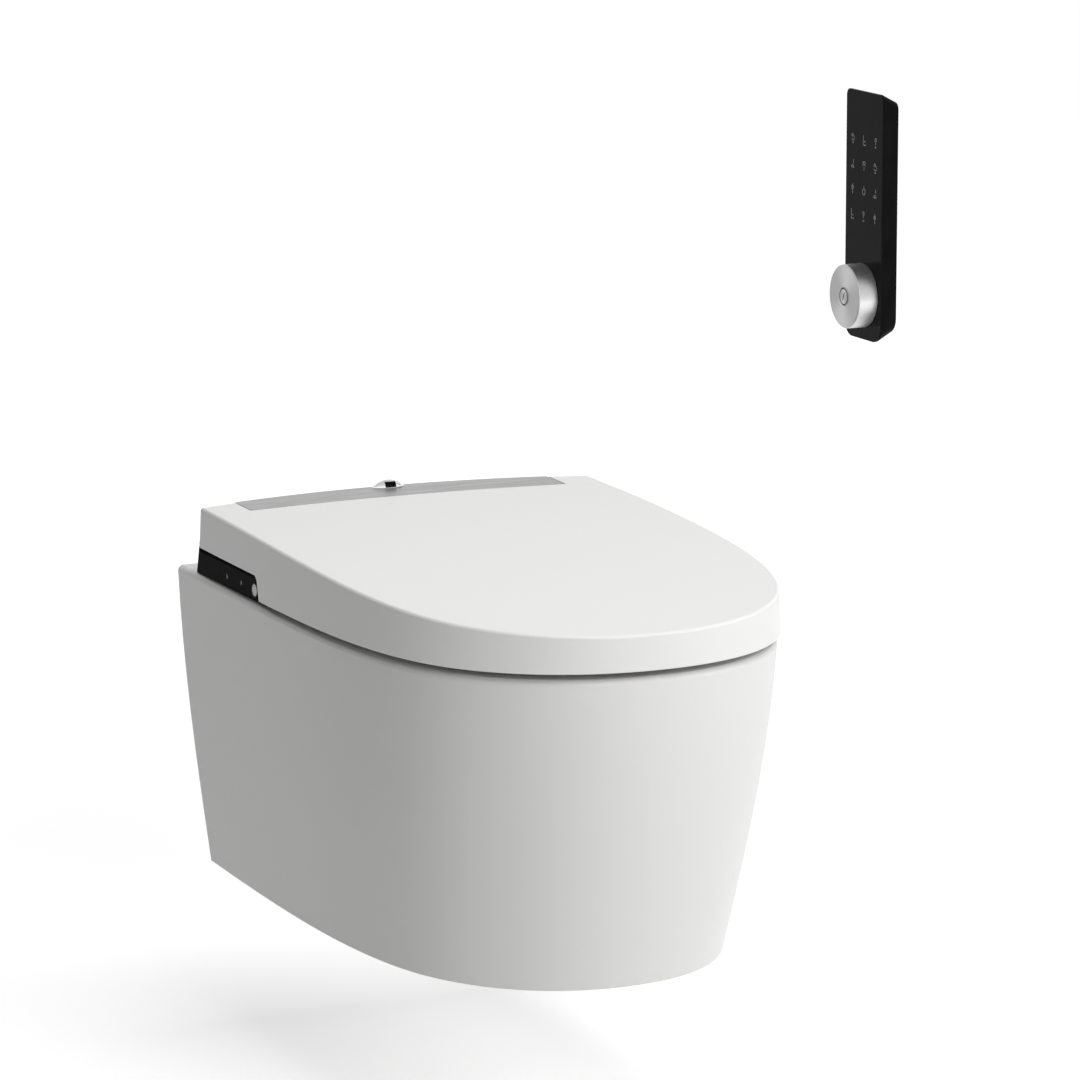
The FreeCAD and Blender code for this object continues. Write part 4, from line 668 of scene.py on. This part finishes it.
def symbol_tree():
    """Rows and columns of stroked symbols on an upright face that looks towards -X."""
    tree = bpy.data.node_groups.new("key_symbols", "GeometryNodeTree")
    named_input(tree, "Columns", "NodeSocketInt", 3)
    named_input(tree, "Rows", "NodeSocketInt", 4)
    named_input(tree, "Column spacing", "NodeSocketFloat", 0.021)
    named_input(tree, "Row spacing", "NodeSocketFloat", 0.022)
    named_input(tree, "Symbol height", "NodeSocketFloat", 0.008)
    named_input(tree, "Stroke", "NodeSocketFloat", 0.07)
    named_input(tree, "Flatness", "NodeSocketFloat", 0.3)
    named_input(tree, "Centre", "NodeSocketVector")
    named_input(tree, "Finish", "NodeSocketMaterial")
    tree.interface.new_socket("Geometry", in_out="OUTPUT", socket_type="NodeSocketGeometry")
    given = tree.nodes.new("NodeGroupInput").outputs

    def span(count, spacing):
        fewer = link_math(tree, "SUBTRACT", given[count], 1)
        return link_math(tree, "MULTIPLY", fewer, given[spacing])

    grid = tree.nodes.new("GeometryNodeMeshGrid")
    tree.links.new(span("Columns", "Column spacing"), grid.inputs["Size X"])
    tree.links.new(span("Rows", "Row spacing"), grid.inputs["Size Y"])
    tree.links.new(given["Columns"], grid.inputs["Vertices X"])
    tree.links.new(given["Rows"], grid.inputs["Vertices Y"])

    nib = tree.nodes.new("GeometryNodeCurvePrimitiveCircle")
    nib.inputs["Resolution"].default_value = NIB_SIDES
    tree.links.new(link_math(tree, "MULTIPLY", given["Stroke"], 0.5), nib.inputs["Radius"])
    choices = tree.nodes.new("GeometryNodeJoinGeometry")
    for strokes in reversed(SYMBOLS):
        drawn = tree.nodes.new("GeometryNodeJoinGeometry")
        for maker, *where in strokes:
            tree.links.new(maker(tree, *where), drawn.inputs[0])
        tube = tree.nodes.new("GeometryNodeCurveToMesh")
        tube.inputs["Fill Caps"].default_value = True
        tree.links.new(drawn.outputs[0], tube.inputs["Curve"])
        tree.links.new(nib.outputs[0], tube.inputs["Profile Curve"])
        one = tree.nodes.new("GeometryNodeGeometryToInstance")
        tree.links.new(tube.outputs[0], one.inputs[0])
        tree.links.new(one.outputs[0], choices.inputs[0])

    index = tree.nodes.new("GeometryNodeInputIndex")
    choice = link_math(tree, "MODULO", index.outputs[0], len(SYMBOLS))
    keys = tree.nodes.new("GeometryNodeInstanceOnPoints")
    keys.inputs["Pick Instance"].default_value = True
    tree.links.new(grid.outputs["Mesh"], keys.inputs["Points"])
    tree.links.new(choices.outputs[0], keys.inputs["Instance"])
    tree.links.new(choice, keys.inputs["Instance Index"])
    tree.links.new(given["Symbol height"], keys.inputs["Scale"])
    real = tree.nodes.new("GeometryNodeRealizeInstances")
    tree.links.new(keys.outputs[0], real.inputs[0])

    flat = tree.nodes.new("GeometryNodeTransform")
    thin = tree.nodes.new("ShaderNodeCombineXYZ")
    thin.inputs[0].default_value = 1.0
    thin.inputs[1].default_value = 1.0
    tree.links.new(given["Flatness"], thin.inputs[2])
    tree.links.new(thin.outputs[0], flat.inputs["Scale"])
    tree.links.new(real.outputs[0], flat.inputs["Geometry"])
    upright = tree.nodes.new("GeometryNodeTransform")
    upright.inputs["Rotation"].default_value = (math.pi / 2, 0.0, -math.pi / 2)
    tree.links.new(given["Centre"], upright.inputs["Translation"])
    tree.links.new(flat.outputs[0], upright.inputs["Geometry"])
    coated = tree.nodes.new("GeometryNodeSetMaterial")
    tree.links.new(upright.outputs[0], coated.inputs["Geometry"])
    tree.links.new(given["Finish"], coated.inputs["Material"])
    out = tree.nodes.new("NodeGroupOutput")
    tree.links.new(coated.outputs[0], out.inputs[0])
    return tree


def grown(name, tree, values):
    """A plain mesh object from a Geometry Nodes tree and its inputs, by name."""
    host = bpy.data.objects.new(name + "_maker", bpy.data.meshes.new(name + "_seed"))
    scene.collection.objects.link(host)
    modifier = host.modifiers.new("grow", "NODES")
    modifier.node_group = tree
    for socket in tree.interface.items_tree:
        if socket.in_out == "INPUT" and socket.name in values:
            modifier[socket.identifier] = values[socket.name]
    bpy.context.view_layer.update()
    ready = host.evaluated_get(bpy.context.evaluated_depsgraph_get())
    mesh = bpy.data.meshes.new_from_object(ready)
    host.modifiers.remove(modifier)
    bpy.data.objects.remove(host)
    piece = bpy.data.objects.new(name, mesh)
    mesh.name = name
    scene.collection.objects.link(piece)
    return piece


KEYS_ABOVE_KNOB = 0.0755     # from the knob's top to the middle of the remote's keys
SIGNS_ABOVE_LIGHTS = 0.0005      # the side panel's symbols, over its lights


def print_symbols():
    """Twelve key symbols on the remote's glass and two on the side panel, in generic shapes."""
    tree = symbol_tree()
    pale = printed_symbol().material
    glass_low, glass_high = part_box("remote_glass")
    knob_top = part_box("knob_ring")[1][2]
    lights_low, lights_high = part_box("status_lights")
    panel_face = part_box("side_panel_left")[0][0]
    keys = grown("remote_symbols", tree, {
        "Columns": 3, "Rows": 4, "Column spacing": 0.021, "Row spacing": 0.0224,
        "Symbol height": 0.0098, "Stroke": 0.115, "Flatness": 0.2,
        "Centre": (glass_low[0], (glass_low[1] + glass_high[1]) / 2, knob_top + KEYS_ABOVE_KNOB),
        "Finish": pale})
    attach(keys, "remote")
    signs = grown("panel_symbols", tree, {
        "Columns": 2, "Rows": 1, "Column spacing": 0.032, "Row spacing": 0.01,
        "Symbol height": 0.0050, "Stroke": 0.14, "Flatness": 0.2,
        "Centre": (panel_face, (lights_low[1] + lights_high[1]) / 2,
                   (lights_low[2] + lights_high[2]) / 2 + SIGNS_ABOVE_LIGHTS),
        "Finish": pale})
    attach(signs, "pan")


# ---------------------------------------------------------------- solids built point by point

def stadium(centre, length, width, lean, steps=10):
    """A long hole's outline about a centre in the plane across X, leaning from the upright."""
    points = []
    for end in (1, -1):
        for step in range(steps + 1):
            angle = math.pi * step / steps + (0.0 if end > 0 else math.pi)
            across = width / 2 * math.cos(angle)
            along = width / 2 * math.sin(angle) + end * (length - width) / 2
            points.append((centre[1] + across * math.cos(lean) + along * math.sin(lean),
                           centre[2] - across * math.sin(lean) + along * math.cos(lean)))
    return points


def round_outline(centre, radius, steps=72):
    """A circle about a centre in the plane across X."""
    return [(centre[1] + radius * math.cos(2 * math.pi * step / steps),
             centre[2] + radius * math.sin(2 * math.pi * step / steps)) for step in range(steps)]


def raised(shape, outline, front, back, hole=None):
    """Adds a flat solid between two planes across X, with or without a hole of as many points."""
    loops = [[shape.verts.new((x, y, z)) for y, z in outline] for x in (front, back)]
    inner = [[shape.verts.new((x, y, z)) for y, z in hole] for x in (front, back)] if hole else None
    count = len(outline)
    for step in range(count):
        after = (step + 1) % count
        shape.faces.new((loops[0][step], loops[0][after], loops[1][after], loops[1][step]))
        if inner:
            shape.faces.new((inner[0][after], inner[0][step], inner[1][step], inner[1][after]))
            for one, two in zip(loops, inner):
                shape.faces.new((one[step], one[after], two[after], two[step]))
    if not inner:
        shape.faces.new(loops[0])
        shape.faces.new(loops[1])


def turned(shape, centre, profile, steps=64):
    """Adds a solid turned about an axis along X.

    The profile is a list of (x, radius), closed on itself or with both ends on the axis."""
    rings = []
    for x, radius in profile:
        if radius == 0.0:
            rings.append([shape.verts.new((x, centre[1], centre[2]))])
        else:
            rings.append([shape.verts.new((x, y, z)) for y, z in round_outline(centre, radius, steps)])
    closed = len(rings[0]) > 1
    for index in range(len(rings) if closed else len(rings) - 1):
        one, two = rings[index], rings[(index + 1) % len(rings)]
        for step in range(steps):
            after = (step + 1) % steps
            if len(one) == 1:
                shape.faces.new((one[0], two[step], two[after]))
            elif len(two) == 1:
                shape.faces.new((one[step], one[after], two[0]))
            else:
                shape.faces.new((one[step], one[after], two[after], two[step]))


def finished(name, shape, material, body):
    """A mesh object from what was built, facing outwards, on its body."""
    bmesh.ops.recalc_face_normals(shape, faces=shape.faces)
    mesh = bpy.data.meshes.new(name)
    shape.to_mesh(mesh)
    shape.free()
    mesh.materials.append(material)
    piece = bpy.data.objects.new(name, mesh)
    scene.collection.objects.link(piece)
    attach(piece, body)
    return piece


# ---------------------------------------------------------------- the two buttons

MARK_DEPTH = 0.1 * MM        # how far a mark reaches into its button

KNOB_MARK_PROUD = 0.05 * MM
KNOB_MARK_RING = (7.6 * MM, 6.7 * MM)
KNOB_MARK_STROKE = (8.0 * MM, 1.1 * MM)
KNOB_MARK_LEAN = math.radians(-24)

# Radii of the side button's cap, collar and mark, as shares of the solid's own.
CAP_FACE = 0.66
CAP_BEVEL = 0.74
CAP_SIDE = 0.78
COLLAR_BORE = 0.8
COLLAR_FACE = 0.96
SIDE_MARK_RING = (0.56, 0.49)
# Depths behind its front.
BEVEL_DEPTH = 0.15 * MM
SHOULDER_DEPTH = 0.5 * MM
COLLAR_DEPTH = 0.3 * MM
COLLAR_SHOULDER = 0.6 * MM
SIDE_MARK_PROUD = 0.03 * MM
SIDE_MARK_STROKE = (3.4 * MM, 0.8 * MM)


def ring_and_stroke(centre, front, proud, radii, stroke, lean):
    """A flat ring with a long stroke in it, on a face that looks towards -X."""
    shape = bmesh.new()
    raised(shape, round_outline(centre, radii[0]), front - proud, front + MARK_DEPTH,
           round_outline(centre, radii[1]))
    raised(shape, stadium(centre, *stroke, lean), front - proud, front + MARK_DEPTH)
    return shape


def mark_button():
    """The dark ring near the edge of the knob's button and the slanting stroke in it."""
    shape = ring_and_stroke(middle("knob_button"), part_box("knob_button")[0][0], KNOB_MARK_PROUD,
                            KNOB_MARK_RING, KNOB_MARK_STROKE, KNOB_MARK_LEAN)
    finished("button_mark", shape, DARK_PRINT.material, "knob_button")


def face_side_button():
    """A satin cap in a black collar, with a ring and a short stroke on it."""
    centre = middle("side_button")
    low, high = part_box("side_button")
    front, back = low[0], high[0]
    outer = (high[2] - low[2]) / 2
    cap = bmesh.new()
    turned(cap, centre, [(front, 0.0), (front, outer * CAP_FACE), (front + BEVEL_DEPTH, outer * CAP_BEVEL),
                         (front + SHOULDER_DEPTH, outer * CAP_SIDE), (back, outer * CAP_SIDE), (back, 0.0)])
    cap = finished("side_button_cap", cap, satin_button().material, "side_button")
    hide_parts("side_button")
    collar = bmesh.new()
    turned(collar, centre, [(front + COLLAR_DEPTH, outer * COLLAR_BORE),
                            (front + COLLAR_DEPTH, outer * COLLAR_FACE),
                            (front + COLLAR_SHOULDER, outer), (back, outer), (back, outer * COLLAR_BORE)])
    finished("side_button_collar", collar, BLACK_GLASS.material, "side_button")
    radii = [outer * share for share in SIDE_MARK_RING]
    mark = ring_and_stroke(centre, front, SIDE_MARK_PROUD, radii, SIDE_MARK_STROKE, 0.0)
    finished("side_button_mark", mark, DARK_PRINT.material, "side_button")


place_camera()
hang_lamps()
fill_room()
lay_floor()
dress_nodes()
print_symbols()
mark_button()
face_side_button()

scene.view_settings.view_transform = "Standard"
